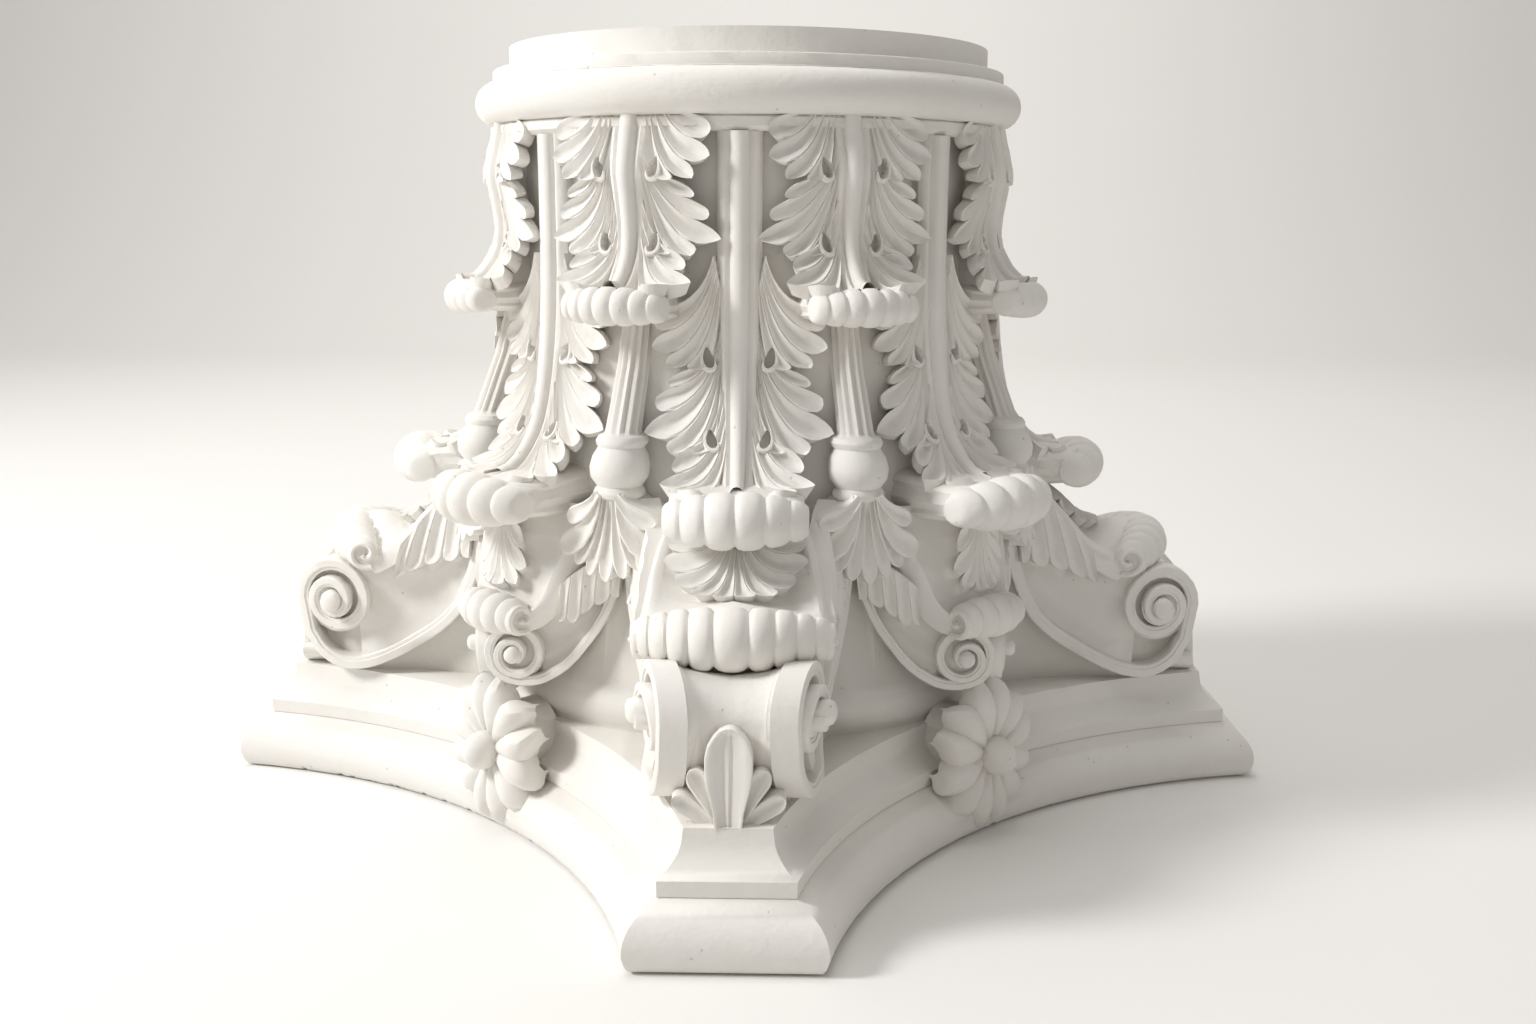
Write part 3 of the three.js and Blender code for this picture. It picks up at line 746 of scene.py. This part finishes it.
def spool():
    """Hollow front between a corner's two scrolls, from under their sweep to over their heads."""
    sweep, turns, wound = spiral(VOLUTE)
    line = np.vstack([sweep[-16:], turns[wound <= 175]])
    y = np.linspace(-1, 1, 15)
    recess = 1.2 + 7.0 * (1 - y**2) ** 0.8
    recess[len(y) // 2] += 0.5
    front, back = [], []
    for point, side in zip(line, left_of(line)):
        half = lookup(VOLUTE_LINE, point[0]) - VOLUTE["depth"] + 2
        p = point + side * recess[:, None]
        front.append(np.stack([p[:, 0], y * half, p[:, 1]], -1))
        q = p + (SPOOL_CORE - p) * 0.7
        back.append(np.stack([q[:, 0], y * half, q[:, 1]], -1))
    return slab(np.array(front), np.array(back))


def web():
    """Plain wall between the sweep of a corner's scrolls and the abacus."""
    x = np.linspace(178, 308, 8)
    y = lookup(VOLUTE_LINE, x) - 16
    z = lookup(VOLUTE["sweep"][:9], x) + 6
    front = np.stack([np.stack([x, y, np.full_like(x, ABACUS_TOP - 3)], -1), np.stack([x, y, z], -1)])
    back = front * [1, -1, 1]
    return slab(front, back)


class Saddle:
    """Leaf laid over a pair of scrolls. From its root to its curl, a row gives the radius and
    height of its middle, then the radius, offset and height of its rim."""

    LEAN = (0.75, 0.66)
    BACK_WIDTH = 0.62

    def __init__(self, rows, thick):
        self.thick = thick
        self.line = flowing(rows, 5)
        steps = np.hypot(*np.diff(self.line[:, :2], axis=0).T)
        self.along = np.concatenate([[0], np.cumsum(steps)])

    def lay(self, offset, along, lift):
        middle_r, middle_z, rim_r, rim_y, rim_z = (
            np.interp(along, self.along, column) for column in self.line.T
        )
        share = np.abs(offset) / rim_y
        radius = middle_r + (rim_r - middle_r) * share**2
        height = middle_z + (rim_z - middle_z) * share**1.7
        return around(radius + self.LEAN[0] * lift, offset, height + self.LEAN[1] * lift)

    def back(self, offset, along):
        return self.lay(offset * self.BACK_WIDTH, along, -self.thick + 0 * offset)

    under = back

    def body(self):
        """The leaf itself: a smooth bowl with a rounded rim down each side."""
        share = np.array([-1.0, -0.995, -0.97, -0.93, -0.88, -0.82, -0.6, -0.3])
        lift = np.array([-6, -1, 3.4, 5.2, 4.2, 0.6, -5.2, -4.6])
        share, lift = np.append(share, [0, *-share[::-1]]), np.append(lift, [-1.6, *lift[::-1]])
        along = self.along[:, None]
        offset = share * self.line[:, 3:4]
        return slab(self.lay(offset, along, lift + 0 * offset), self.back(offset, along))


HORN_SADDLE = Saddle([
    (205, 240, 203, 42, 238), (224, 221, 216, 46.5, 221), (243, 206, 228, 52, 208),
    (258, 191, 241, 56, 194), (271, 187, 254, 59, 178), (286, 191, 268, 60.5, 167),
    (298, 190, 281, 60, 159), (305, 184, 288, 59, 156),
], 20.0)
FACE_SADDLE = Saddle([
    (217, 238, 199, 60, 224), (222, 228, 203, 59, 211), (226, 218, 207, 56, 198), (229, 204, 211, 52, 188),
    (231, 190, 216, 47, 174), (233, 178, 220, 42, 160), (238, 168, 228, 34, 149), (243, 164, 236, 27, 145),
], 14.0)


def laid_leaf(saddle, centre_fan, curl, sides):
    """Leaf over a pair of scrolls: its bowl, its leaflets, its wound rims and its roll."""
    return [saddle.body(), *both([fan(saddle, **centre_fan), snail(curl)]), gadroons(curl, sides)]


def skirt(tops, tips, out, depth=2.6, thick=13.0):
    """Diagonal flutes that fall from a leaf's rim to rounded tips on the face of a scroll."""
    line, out = flowing(tops, 4), np.asarray(out, float) / np.linalg.norm(out)
    count = len(tips)
    v, hollow, share = side_by_side(count)
    top = sampled(line, np.linspace(0, count, len(line)), v)
    low = sampled(tips, np.arange(count) + 0.5, v)
    reach = 1 - 0.15 * rounded(share)
    front, back = [], []
    for u in (0, 0.12, 0.3, 0.5, 0.7, 0.88, 0.96, 1.0):
        deep = depth * np.interp(u, [0, 0.25, 0.9, 1], [0.4, 1, 0.9, 0])
        points = top + (low - top) * (u * reach)[:, None]
        bulge = 2.2 * math.sin(math.pi * u) + deep * hollow
        front.append(points + bulge[:, None] * out)
        back.append(points - thick * out)
    return slab(np.array(front), np.array(back))


def volute_skirt():
    tips = [volute_lay(x, z, VOLUTE_SKIRT["lift"]) for x, z in VOLUTE_SKIRT["tips"]]
    return skirt(VOLUTE_SKIRT["tops"], tips, (0.3, 1, 0))


def helix_lay(u, z, out):
    x, y = HELIX_APEX + HELIX_RUN * u + np.array([HELIX_RUN[1], -HELIX_RUN[0]]) * out
    return np.array([x, y, z])


def helix_twin(u, z, out):
    return helix_lay(u, z, out) * [1, -1, 1]


def helix_skirt():
    tops, tips = ([helix_lay(*p) for p in HELIX_SKIRT[name]] for name in ("tops", "tips"))
    return skirt(tops, tips, helix_lay(0, 0, 1) - helix_lay(0, 0, 0), depth=2.0, thick=9.0)


def helices():
    """One face's pair of helices, the channel between them and the flutes that hang on them."""
    centre = HELIX["centre"]
    scroll = [
        band(HELIX, helix_lay, -1),
        disc(centre, 20, -22, [(1, -6)], 22, helix_lay),
        disc(centre, HELIX["eye"], -8, [(1, 6), (0.8, 8), (0.45, 9)], 12, helix_lay),
        helix_skirt(),
    ]
    return [channel(HELIX, helix_lay, helix_twin), *both(scroll)]


# Ornaments on the abacus

def rosette():
    """Full petals, each pinched into two lobes, round a ball."""
    x, middle = ROSETTE_PLACE

    def place(y, z, lift):
        return np.stack([x + np.asarray(lift, float), np.asarray(y, float) * 0.86, middle + z], -1)

    across, puff, notch = np.array(PETAL_SECTION, float).T
    solids = []
    for i in range(PETALS):
        a = math.radians(360 / PETALS * i)
        c, s = math.cos(a), math.sin(a)
        front, back = [], []
        for reach, half, lift in PETAL_ROWS:
            out = reach + (notch - 1) * 0.16 * reach * (reach / 50)
            side = half * across
            fade = min(1, reach / 30)
            front.append(place(c * side - s * out, s * side + c * out, lift + puff * fade))
            in_y, in_z = 0.88 * c * side - 0.94 * s * out, 0.88 * s * side + 0.94 * c * out
            back.append(place(in_y, in_z, np.full(len(across), -17.0 - 4 * (reach < 30))))
        solids.append(slab(np.array(front), np.array(back)))
    ball = disc((0, 0), 13.5, -4, [(1, 4), (0.94, 9), (0.76, 14), (0.45, 17.5), (0.15, 19)], 18, place)
    boss = disc((0, 0), 29, -44, [(1, -14), (0.8, -4)], 24, place)
    return [boss, *solids, ball]


def palmette():
    """Dished middle lobe with a rim, and two smaller lobes at each of its sides."""
    def place(y, z, lift):
        return np.stack([345 + lift - 0.12 * (z - 72), y, z], -1)

    lobes = [
        spoon((4, PALMETTE_FOOT), (11, 91), (23, 103), 6.6, place, depth=2.6, back=24, waist=0.6),
        spoon((8, PALMETTE_FOOT), (18, 80), (33, 87), 5.6, place, depth=2.4, back=22, waist=0.6),
    ]
    across, dish = np.array(PALMETTE_SECTION, float).T
    level = np.ones(len(across))
    front, back = [], []
    for height, half in PALMETTE_ROWS:
        rim = np.interp(height, [110, 124, 128, 129.6], [0, 0, 1, 1])
        lift = 3 + dish * (1 - rim) + 2.6 * rim * (dish > 0)
        front.append(place(half * across, height * level, lift))
        back.append(place(half * across, height * level, -24 * level))
    return [slab(np.array(front), np.array(back)), *both(lobes)]


# Neck, bell and abacus

def lathe(profile, sides):
    """Solid turned round the axis from radii and heights."""
    x, y, level = np.cos(whole_turn(sides)), np.sin(whole_turn(sides)), np.ones(sides)
    return tube([np.stack([r * x, r * y, z * level], -1) for r, z in profile])


def neck():
    bulge = TORUS["bulge"]
    turn = np.radians(np.linspace(82, -88, 12))
    torus = [(TORUS["radius"] + bulge * math.cos(t), TORUS["height"] + bulge * math.sin(t)) for t in turn]
    return lathe([*NECK_PROFILE, *torus, *NECK_LIP], 96)


def abacus_outline(set_back, count=20):
    """Plan of the abacus, set back from its widest moulding: four hollow sides."""
    radius = FACE_ARC_RADIUS + set_back
    centre = FACE_DISTANCE + FACE_ARC_RADIUS
    horn = math.sqrt(2) * (HORN_DISTANCE - 0.93 * set_back)
    reach = math.pi / 4 + math.asin((horn - centre) / (math.sqrt(2) * radius))
    a = np.linspace(-reach, reach, count + 1)
    x, y = centre - radius * np.cos(a), radius * np.sin(a)
    turns = [(math.cos(side * math.pi / 2), math.sin(side * math.pi / 2)) for side in range(4)]
    return np.concatenate([np.stack([x * c - y * s, x * s + y * c], -1) for c, s in turns])


def chips(count=64):
    """Rough bits broken from the arris that the abacus stands on."""
    draw = np.random.default_rng(CHIP_SEED)
    arris = abacus_outline(0, 90)
    bits = []
    for spot in draw.integers(0, len(arris), count):
        size = draw.uniform(*CHIP_SIZES)
        a = whole_turn(7)
        rings = []
        for level, girth in CHIP_RINGS:
            r = size * girth * draw.uniform(0.7, 1.2, len(a))
            x, y = arris[spot, 0] + r * np.cos(a), arris[spot, 1] + r * np.sin(a)
            rings.append(np.stack([x, y, np.full(len(a), size * level)], -1))
        bits.append(tube(rings))
    return bits


def abacus():
    rings = []
    for height, set_back in ABACUS_PROFILE:
        outline = abacus_outline(set_back)
        rings.append(np.column_stack([outline, np.full(len(outline), height)]))
    return boolean([tube(rings), *chips()], "DIFFERENCE")


# Casting: solids are joined by boolean modifiers into one closed mesh

def mesh_object(name, solid, collection):
    """Mesh object in metres of a solid in millimetres."""
    points, triangles = solid
    mesh = bpy.data.meshes.new(name)
    mesh.from_pydata((points * MM).tolist(), [], triangles.tolist())
    mesh.update()
    made = bpy.data.objects.new(name, mesh)
    collection.objects.link(made)
    return made


def solid_of(made):
    """Solid in millimetres of a mesh object with its modifiers."""
    evaluated = made.evaluated_get(bpy.context.evaluated_depsgraph_get())
    mesh = evaluated.to_mesh()
    mesh.calc_loop_triangles()
    points = np.empty(3 * len(mesh.vertices))
    mesh.vertices.foreach_get("co", points)
    corners = np.empty(3 * len(mesh.loop_triangles), int)
    mesh.loop_triangles.foreach_get("vertices", corners)
    evaluated.to_mesh_clear()
    return points.reshape(-1, 3) / MM, corners.reshape(-1, 3)


def scrap(objects):
    """Remove objects and their meshes."""
    for made in objects:
        mesh = made.data
        bpy.data.objects.remove(made)
        bpy.data.meshes.remove(mesh)


def worked(solid, kind, settings, operands=()):
    """The solid after one modifier, made on a bench that is cleared again."""
    bench = bpy.data.collections.new("bench")
    bpy.context.scene.collection.children.link(bench)
    others = bpy.data.collections.new("operands")
    base = mesh_object("base", solid, bench)
    for i, operand in enumerate(operands):
        mesh_object(f"operand_{i}", operand, others)
    modifier = base.modifiers.new("Work", kind)
    for name, value in settings.items():
        setattr(modifier, name, value)
    if operands:
        modifier.operand_type = "COLLECTION"
        modifier.collection = others
    result = solid_of(base)
    scrap([*bench.objects, *others.objects])
    bpy.data.collections.remove(bench)
    bpy.data.collections.remove(others)
    return result


def boolean(solids, operation="UNION"):
    """First solid with all the others added to it, or cut from it."""
    first, *others = solids
    return worked(first, "BOOLEAN", {"operation": operation, "solver": "MANIFOLD"}, others)


def thinned(solid, share):
    """Same solid with the given share of its triangles, kept where the form needs them."""
    return worked(solid, "DECIMATE", {"ratio": share})


def outer_shell(solid):
    """The solid without the hollows that its joined pieces close in."""
    points, triangles = solid
    label = np.arange(len(points))
    settled = False
    while not settled:
        lowest = label.copy()
        np.minimum.at(lowest, triangles.reshape(-1), np.repeat(label[triangles].min(axis=1), 3))
        lowest = lowest[lowest]
        settled = np.array_equal(lowest, label)
        label = lowest
    kept = triangles[label[triangles[:, 0]] == np.bincount(label).argmax()]
    used, corners = np.unique(kept, return_inverse=True)
    return points[used], corners.reshape(-1, 3)


def cut(solid, plugs):
    """The solid with each plug taken out of it in turn."""
    for plug in plugs:
        solid = boolean([solid, plug], "DIFFERENCE")
    return solid


def leaf_cast(row):
    """One leaf of a row, joined and with its eyes cut open."""
    solids, plugs = leaf(**row)
    return thinned(cut(boolean(solids), plugs), 0.6)


def piece(name, solids):
    """Object that holds one group of like solids, joined into one closed mesh."""
    mesh_object(name, boolean(solids) if len(solids) > 1 else solids[0], bpy.context.scene.collection)


# Material

class Wire:
    """A shader socket that Python's operators work on."""

    def __init__(self, nodes, socket):
        self.nodes, self.socket = nodes, socket

    def maths(self, operation, *values):
        return self.nodes.add("ShaderNodeMath", {"operation": operation}, dict(enumerate(values)))

    def __add__(self, other):
        return self.maths("ADD", self, other)

    def __sub__(self, other):
        return self.maths("SUBTRACT", self, other)

    def __rsub__(self, other):
        return self.maths("SUBTRACT", other, self)

    def __mul__(self, other):
        return self.maths("MULTIPLY", self, other)

    def __gt__(self, other):
        return self.maths("GREATER_THAN", self, other)

    __radd__, __rmul__ = __add__, __mul__

    def ramp(self, low, high, start=0.0, end=1.0):
        return self.nodes.add(
            "ShaderNodeMapRange", {"interpolation_type": "SMOOTHSTEP"},
            {"Value": self, "From Min": low, "From Max": high, "To Min": start, "To Max": end},
        )


class Nodes:
    """The node tree of a new material."""

    def __init__(self, name):
        self.material = bpy.data.materials.new(name)
        self.material.use_nodes = True
        self.tree = self.material.node_tree
        self.tree.nodes.clear()

    def add(self, kind, settings=None, inputs=None, output=0):
        node = self.tree.nodes.new(kind)
        for name, value in (settings or {}).items():
            setattr(node, name, value)
        for name, value in (inputs or {}).items():
            if isinstance(value, Wire):
                self.tree.links.new(value.socket, node.inputs[name])
            else:
                node.inputs[name].default_value = value
        return Wire(self, node.outputs[output]) if node.outputs else None

    def mix(self, factor, first, second):
        return self.add("ShaderNodeMix", {"data_type": "RGBA"}, {0: factor, 6: first, 7: second}, output=2)

    def noise(self, place, scale, detail):
        inputs = {"Vector": place, "Scale": scale, "Detail": detail, "Roughness": 0.55}
        return self.add("ShaderNodeTexNoise", {}, inputs)


def shade(colour, share=1.0):
    return (*[c * share for c in colour], 1)


def plaster_material(finish):
    """Matt plaster, stained in patches, with fine grain and pinholes; painted shade darkens its hollows and
    its pinholes.
    """
    n = Nodes("Cast plaster")
    place = n.add("ShaderNodeTexCoord", output=3)
    # Pointiness under its flat value marks the hollows, which are darkened below as painted shade.
    hollow = n.add("ShaderNodeNewGeometry", output=7).ramp(0.5, 0.44)

    broad = n.noise(place, 6, 3).ramp(0.35, 0.7)
    fine = n.noise(place, 60, 4).ramp(0.4, 0.75)
    speck = n.noise(place, 240, 2)
    colour = n.mix(broad * 0.5, shade(finish.colour), shade(finish.stain_and_shade))
    colour = n.mix(fine * 0.22, colour, shade(finish.colour, 0.93))
    cells = {"Vector": place, "Scale": 95.0, "Randomness": 1.0}
    pits = n.add("ShaderNodeTexVoronoi", {"feature": "F1"}, cells)
    sparse = n.noise(place, 31, 1) > 0.56
    holes = pits.ramp(0.10, 0.05) * sparse
    # Painted shade: the pinholes are darkened in colour, as shade falls inside them; the bump below also
    # sinks them.
    colour = n.mix(holes * 0.5, colour, shade(finish.stain_and_shade, 0.5))
    # Painted shade: the colour in the hollows is darkened, as shade falls there.
    colour = n.mix(hollow * 0.6, colour, shade(finish.stain_and_shade, 0.82))
    shader = n.add("ShaderNodeBsdfPrincipled", {}, {
        "Base Color": colour,
        "Roughness": 0.72 + fine * 0.12,
        "Normal": n.add("ShaderNodeBump", {}, {
            "Height": speck * 0.35 + fine * 0.4 - holes * 1.6, "Strength": 0.35, "Distance": 0.0012,
        }),
    })
    n.add("ShaderNodeOutputMaterial", {}, {"Surface": shader})
    return n.material


def floor_material(finish):
    n = Nodes("Pale floor")
    place = n.add("ShaderNodeTexCoord", output=3)
    patches = n.noise(place, 3, 2).ramp(0.3, 0.7)
    shader = n.add("ShaderNodeBsdfPrincipled", {}, {
        "Base Color": n.mix(patches * 0.1, shade(finish.floor), shade(finish.floor, 0.97)),
        "Roughness": 0.75,
    })
    n.add("ShaderNodeOutputMaterial", {}, {"Surface": shader})
    return n.material


# What a user can change

class CarvingEdges(bpy.types.PropertyGroup):
    sharp_angle: FloatProperty(
        name="Sharp edges", description="Angle from which an edge of the carving is crisp",
        default=math.radians(38), subtype="ANGLE",
    )


class PlasterFinish(bpy.types.PropertyGroup):
    colour: FloatVectorProperty(
        name="Plaster", description="Colour of the clean plaster", subtype="COLOR", size=3,
        default=(0.83, 0.812, 0.78),
    )
    # Colour of the older stains; dimmed, it is also the painted shade in the hollows and the pinholes.
    stain_and_shade: FloatVectorProperty(
        name="Stain", description="Colour of the older patches", subtype="COLOR", size=3,
        default=(0.79, 0.755, 0.70),
    )
    floor: FloatVectorProperty(
        name="Floor", description="Colour of the floor", subtype="COLOR", size=3,
        default=(0.84, 0.825, 0.805),
    )


class PieceOperator:
    """Makes one piece from the solids that its operator carves."""
    bl_options = {"REGISTER", "UNDO"}

    def execute(self, context):
        piece(self.piece_name, self.solids())
        return {"FINISHED"}


class RingOperator(PieceOperator):
    """Carves a group once and repeats it round the axis, from a first angle in degrees."""
    first_angle, count, kept_share = 0, 4, 0.6

    def solids(self):
        carved = thinned(boolean(self.carve()), self.kept_share)
        return ring_of([carved], self.first_angle, self.count)


class CAPITAL_OT_neck(PieceOperator, bpy.types.Operator):
    """Turn the neck ring and the bell"""
    bl_idname = "capital.neck"
    bl_label = "Neck and bell"
    piece_name = "neck_and_bell"

    def solids(self):
        return [neck(), lathe(BELL_PROFILE, 64)]


class CAPITAL_OT_abacus(PieceOperator, bpy.types.Operator):
    """Run the moulded abacus"""
    bl_idname = "capital.abacus"
    bl_label = "Abacus"
    piece_name = "abacus"

    def solids(self):
        return [abacus()]


class CAPITAL_OT_first_leaves(PieceOperator, bpy.types.Operator):
    """Carve the short row of leaves next to the neck"""
    bl_idname = "capital.first_leaves"
    bl_label = "First leaves"
    piece_name = "first_leaves"

    def solids(self):
        return ring_of([leaf_cast(FIRST_ROW)], 22.5, 8)


class CAPITAL_OT_second_leaves(PieceOperator, bpy.types.Operator):
    """Carve the long row of leaves"""
    bl_idname = "capital.second_leaves"
    bl_label = "Second leaves"
    piece_name = "second_leaves"

    def solids(self):
        return ring_of([leaf_cast(SECOND_ROW)], 0, 8)


class CAPITAL_OT_stems(RingOperator, bpy.types.Operator):
    """Carve the reeded stems and the calyxes below them"""
    bl_idname = "capital.stems"
    bl_label = "Stems"
    piece_name = "stems"
    first_angle, count, kept_share = 22.5, 8, 0.7

    def carve(self):
        return [cauliculus(), *calyx()]


class CAPITAL_OT_volutes(RingOperator, bpy.types.Operator):
    """Wind the volutes at the four corners"""
    bl_idname = "capital.volutes"
    bl_label = "Volutes"
    piece_name = "volutes"
    first_angle = 45

    def carve(self):
        return [*volutes(), web()]


class CAPITAL_OT_helices(RingOperator, bpy.types.Operator):
    """Wind the small scrolls at the middle of each face"""
    bl_idname = "capital.helices"
    bl_label = "Helices"
    piece_name = "helices"
    kept_share = 0.5

    def carve(self):
        return helices()


class CAPITAL_OT_horn_leaves(RingOperator, bpy.types.Operator):
    """Lay a leaf over each pair of volutes"""
    bl_idname = "capital.horn_leaves"
    bl_label = "Horn leaves"
    piece_name = "horn_leaves"
    first_angle = 45

    def carve(self):
        return laid_leaf(HORN_SADDLE, HORN_FAN, HORN_CURL, 26)


class CAPITAL_OT_face_leaves(RingOperator, bpy.types.Operator):
    """Lay a leaf over each pair of helices"""
    bl_idname = "capital.face_leaves"
    bl_label = "Face leaves"
    piece_name = "face_leaves"
    kept_share = 0.5

    def carve(self):
        return laid_leaf(FACE_SADDLE, FACE_FAN, FACE_CURL, 20)


class CAPITAL_OT_rosettes(RingOperator, bpy.types.Operator):
    """Set a rosette on each side of the abacus"""
    bl_idname = "capital.rosettes"
    bl_label = "Rosettes"
    piece_name = "rosettes"

    def carve(self):
        return rosette()


class CAPITAL_OT_palmettes(RingOperator, bpy.types.Operator):
    """Set a palmette under each volute"""
    bl_idname = "capital.palmettes"
    bl_label = "Palmettes"
    piece_name = "palmettes"
    first_angle = 45

    def carve(self):
        return palmette()


PIECES = [
    CAPITAL_OT_neck, CAPITAL_OT_abacus, CAPITAL_OT_first_leaves, CAPITAL_OT_second_leaves,
    CAPITAL_OT_stems, CAPITAL_OT_volutes, CAPITAL_OT_helices, CAPITAL_OT_horn_leaves,
    CAPITAL_OT_face_leaves, CAPITAL_OT_rosettes, CAPITAL_OT_palmettes,
]


class CAPITAL_OT_cast(bpy.types.Operator):
    """Join the carved pieces into one plaster cast"""
    bl_idname = "capital.cast"
    bl_label = "Cast"

    def execute(self, context):
        edges, finish = context.scene.capital_edges, context.scene.capital_finish
        parts = [bpy.data.objects[p.piece_name] for p in PIECES]
        solids = [solid_of(part) for part in parts]
        scrap(parts)
        solid = outer_shell(boolean(solids))
        solid = thinned(solid, min(1.0, TRIANGLES / len(solid[1])))
        cast = mesh_object("capital_cast", solid, context.scene.collection)
        mesh = cast.data
        mesh.shade_smooth()
        mesh.set_sharp_from_angle(angle=edges.sharp_angle)
        mesh.materials.append(plaster_material(finish))
        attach(cast, "root")
        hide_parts(NODE)
        return {"FINISHED"}


def area_light(name, place, aim, size, power, colour):
    data = bpy.data.lights.new(name, "AREA")
    data.shape, data.size, data.energy, data.color = "DISK", size, power, colour
    lamp = bpy.data.objects.new(name, data)
    lamp.location = place
    lamp.rotation_euler = (aim - place).to_track_quat("-Z", "Y").to_euler()
    bpy.context.scene.collection.objects.link(lamp)


def photograph_axes():
    """Camera place, and its right, up and forward directions."""
    turn, distance = math.radians(CAMERA["turn"]), CAMERA["distance"]
    heading = turn - CAMERA["yaw"]
    place = Vector((distance * math.sin(turn), -distance * math.cos(turn), CAMERA["height"]))
    level = Vector((-math.sin(heading), math.cos(heading), 0))
    forward = level * math.cos(CAMERA["pitch"]) - Vector((0, 0, math.sin(CAMERA["pitch"])))
    right = Vector((math.cos(heading), math.sin(heading), 0))
    up = right.cross(forward)
    cosine, sine = math.cos(CAMERA["roll"]), math.sin(CAMERA["roll"])
    return place, right * cosine + up * sine, up * cosine - right * sine, forward


def floor_section():
    """Floor that bends up into a wall: distance ahead and height."""
    start, radius = FLOOR["bend_from"], FLOOR["bend_radius"]
    turns = np.linspace(0.1, math.pi / 2, 14)
    bend = [(start + radius * math.sin(a), radius - radius * math.cos(a)) for a in turns]
    return [(-FLOOR["reach"], 0.0), (start, 0.0), *bend, (start + radius, FLOOR["wall"])]


class CAPITAL_OT_stage(bpy.types.Operator):
    """Set the floor, the lights and the camera"""
    bl_idname = "capital.stage"
    bl_label = "Stage"

    def execute(self, context):
        scene = context.scene
        place, right, up, forward = photograph_axes()
        level_right = Vector((right.x, right.y, 0)).normalized()
        level_forward = Vector((forward.x, forward.y, 0)).normalized()

        def spot(across, ahead, height):
            return level_right * across + level_forward * ahead + Vector((0, 0, height))

        self.set_camera(scene, place, right, up, forward)
        self.lay_floor(scene, spot)
        for name, place, aim, size, power, colour in LIGHTS:
            area_light(name, spot(*place), spot(*aim), size, power, colour)
        world = bpy.data.worlds.new("Studio")
        world.use_nodes = True
        for name, value in WORLD.items():
            world.node_tree.nodes["Background"].inputs[name].default_value = value
        scene.world = world
        scene.view_settings.view_transform = "Standard"
        scene.view_settings.look = "None"
        return {"FINISHED"}

    def lay_floor(self, scene, spot):
        section, reach = floor_section(), FLOOR["reach"]
        points = [
            spot(side, ahead, height - FLOOR["drop"])
            for ahead, height in section for side in (-reach, reach)
        ]
        faces = [(2 * i, 2 * i + 1, 2 * i + 3, 2 * i + 2) for i in range(len(section) - 1)]
        mesh = bpy.data.meshes.new("floor")
        mesh.from_pydata(points, [], faces)
        mesh.shade_smooth()
        mesh.materials.append(floor_material(scene.capital_finish))
        floor = bpy.data.objects.new("floor", mesh)
        scene.collection.objects.link(floor)

    def set_camera(self, scene, place, right, up, forward):
        data = bpy.data.cameras.new("Camera")
        data.sensor_width = 36
        data.lens = CAMERA["focal_pixels"] / CAMERA["image_width"] * data.sensor_width
        data.clip_start = 0.02
        camera = bpy.data.objects.new("Camera", data)
        matrix = Matrix((right, up, -forward)).transposed().to_4x4()
        matrix.translation = place
        camera.matrix_world = matrix
        scene.collection.objects.link(camera)
        scene.camera = camera


class CAPITAL_PT_panel(bpy.types.Panel):
    bl_label = "Corinthian Capital"
    bl_idname = "CAPITAL_PT_panel"
    bl_space_type = "VIEW_3D"
    bl_region_type = "UI"
    bl_category = "Capital"

    def draw(self, context):
        layout = self.layout
        for group in (context.scene.capital_edges, context.scene.capital_finish):
            for name in group.__annotations__:
                layout.prop(group, name)
        for operator in (*PIECES, CAPITAL_OT_cast, CAPITAL_OT_stage):
            layout.operator(operator.bl_idname)


CLASSES = (CarvingEdges, PlasterFinish, *PIECES, CAPITAL_OT_cast, CAPITAL_OT_stage, CAPITAL_PT_panel)


def register():
    for cls in CLASSES:
        bpy.utils.register_class(cls)
    bpy.types.Scene.capital_edges = PointerProperty(type=CarvingEdges)
    bpy.types.Scene.capital_finish = PointerProperty(type=PlasterFinish)


def unregister():
    del bpy.types.Scene.capital_edges, bpy.types.Scene.capital_finish
    for cls in reversed(CLASSES):
        bpy.utils.unregister_class(cls)


def main():
    register()
    for operator in PIECES:
        getattr(bpy.ops.capital, operator.bl_idname.removeprefix("capital."))()
    bpy.ops.capital.cast()
    bpy.ops.capital.stage()


if __name__ == "__main__":
    main()
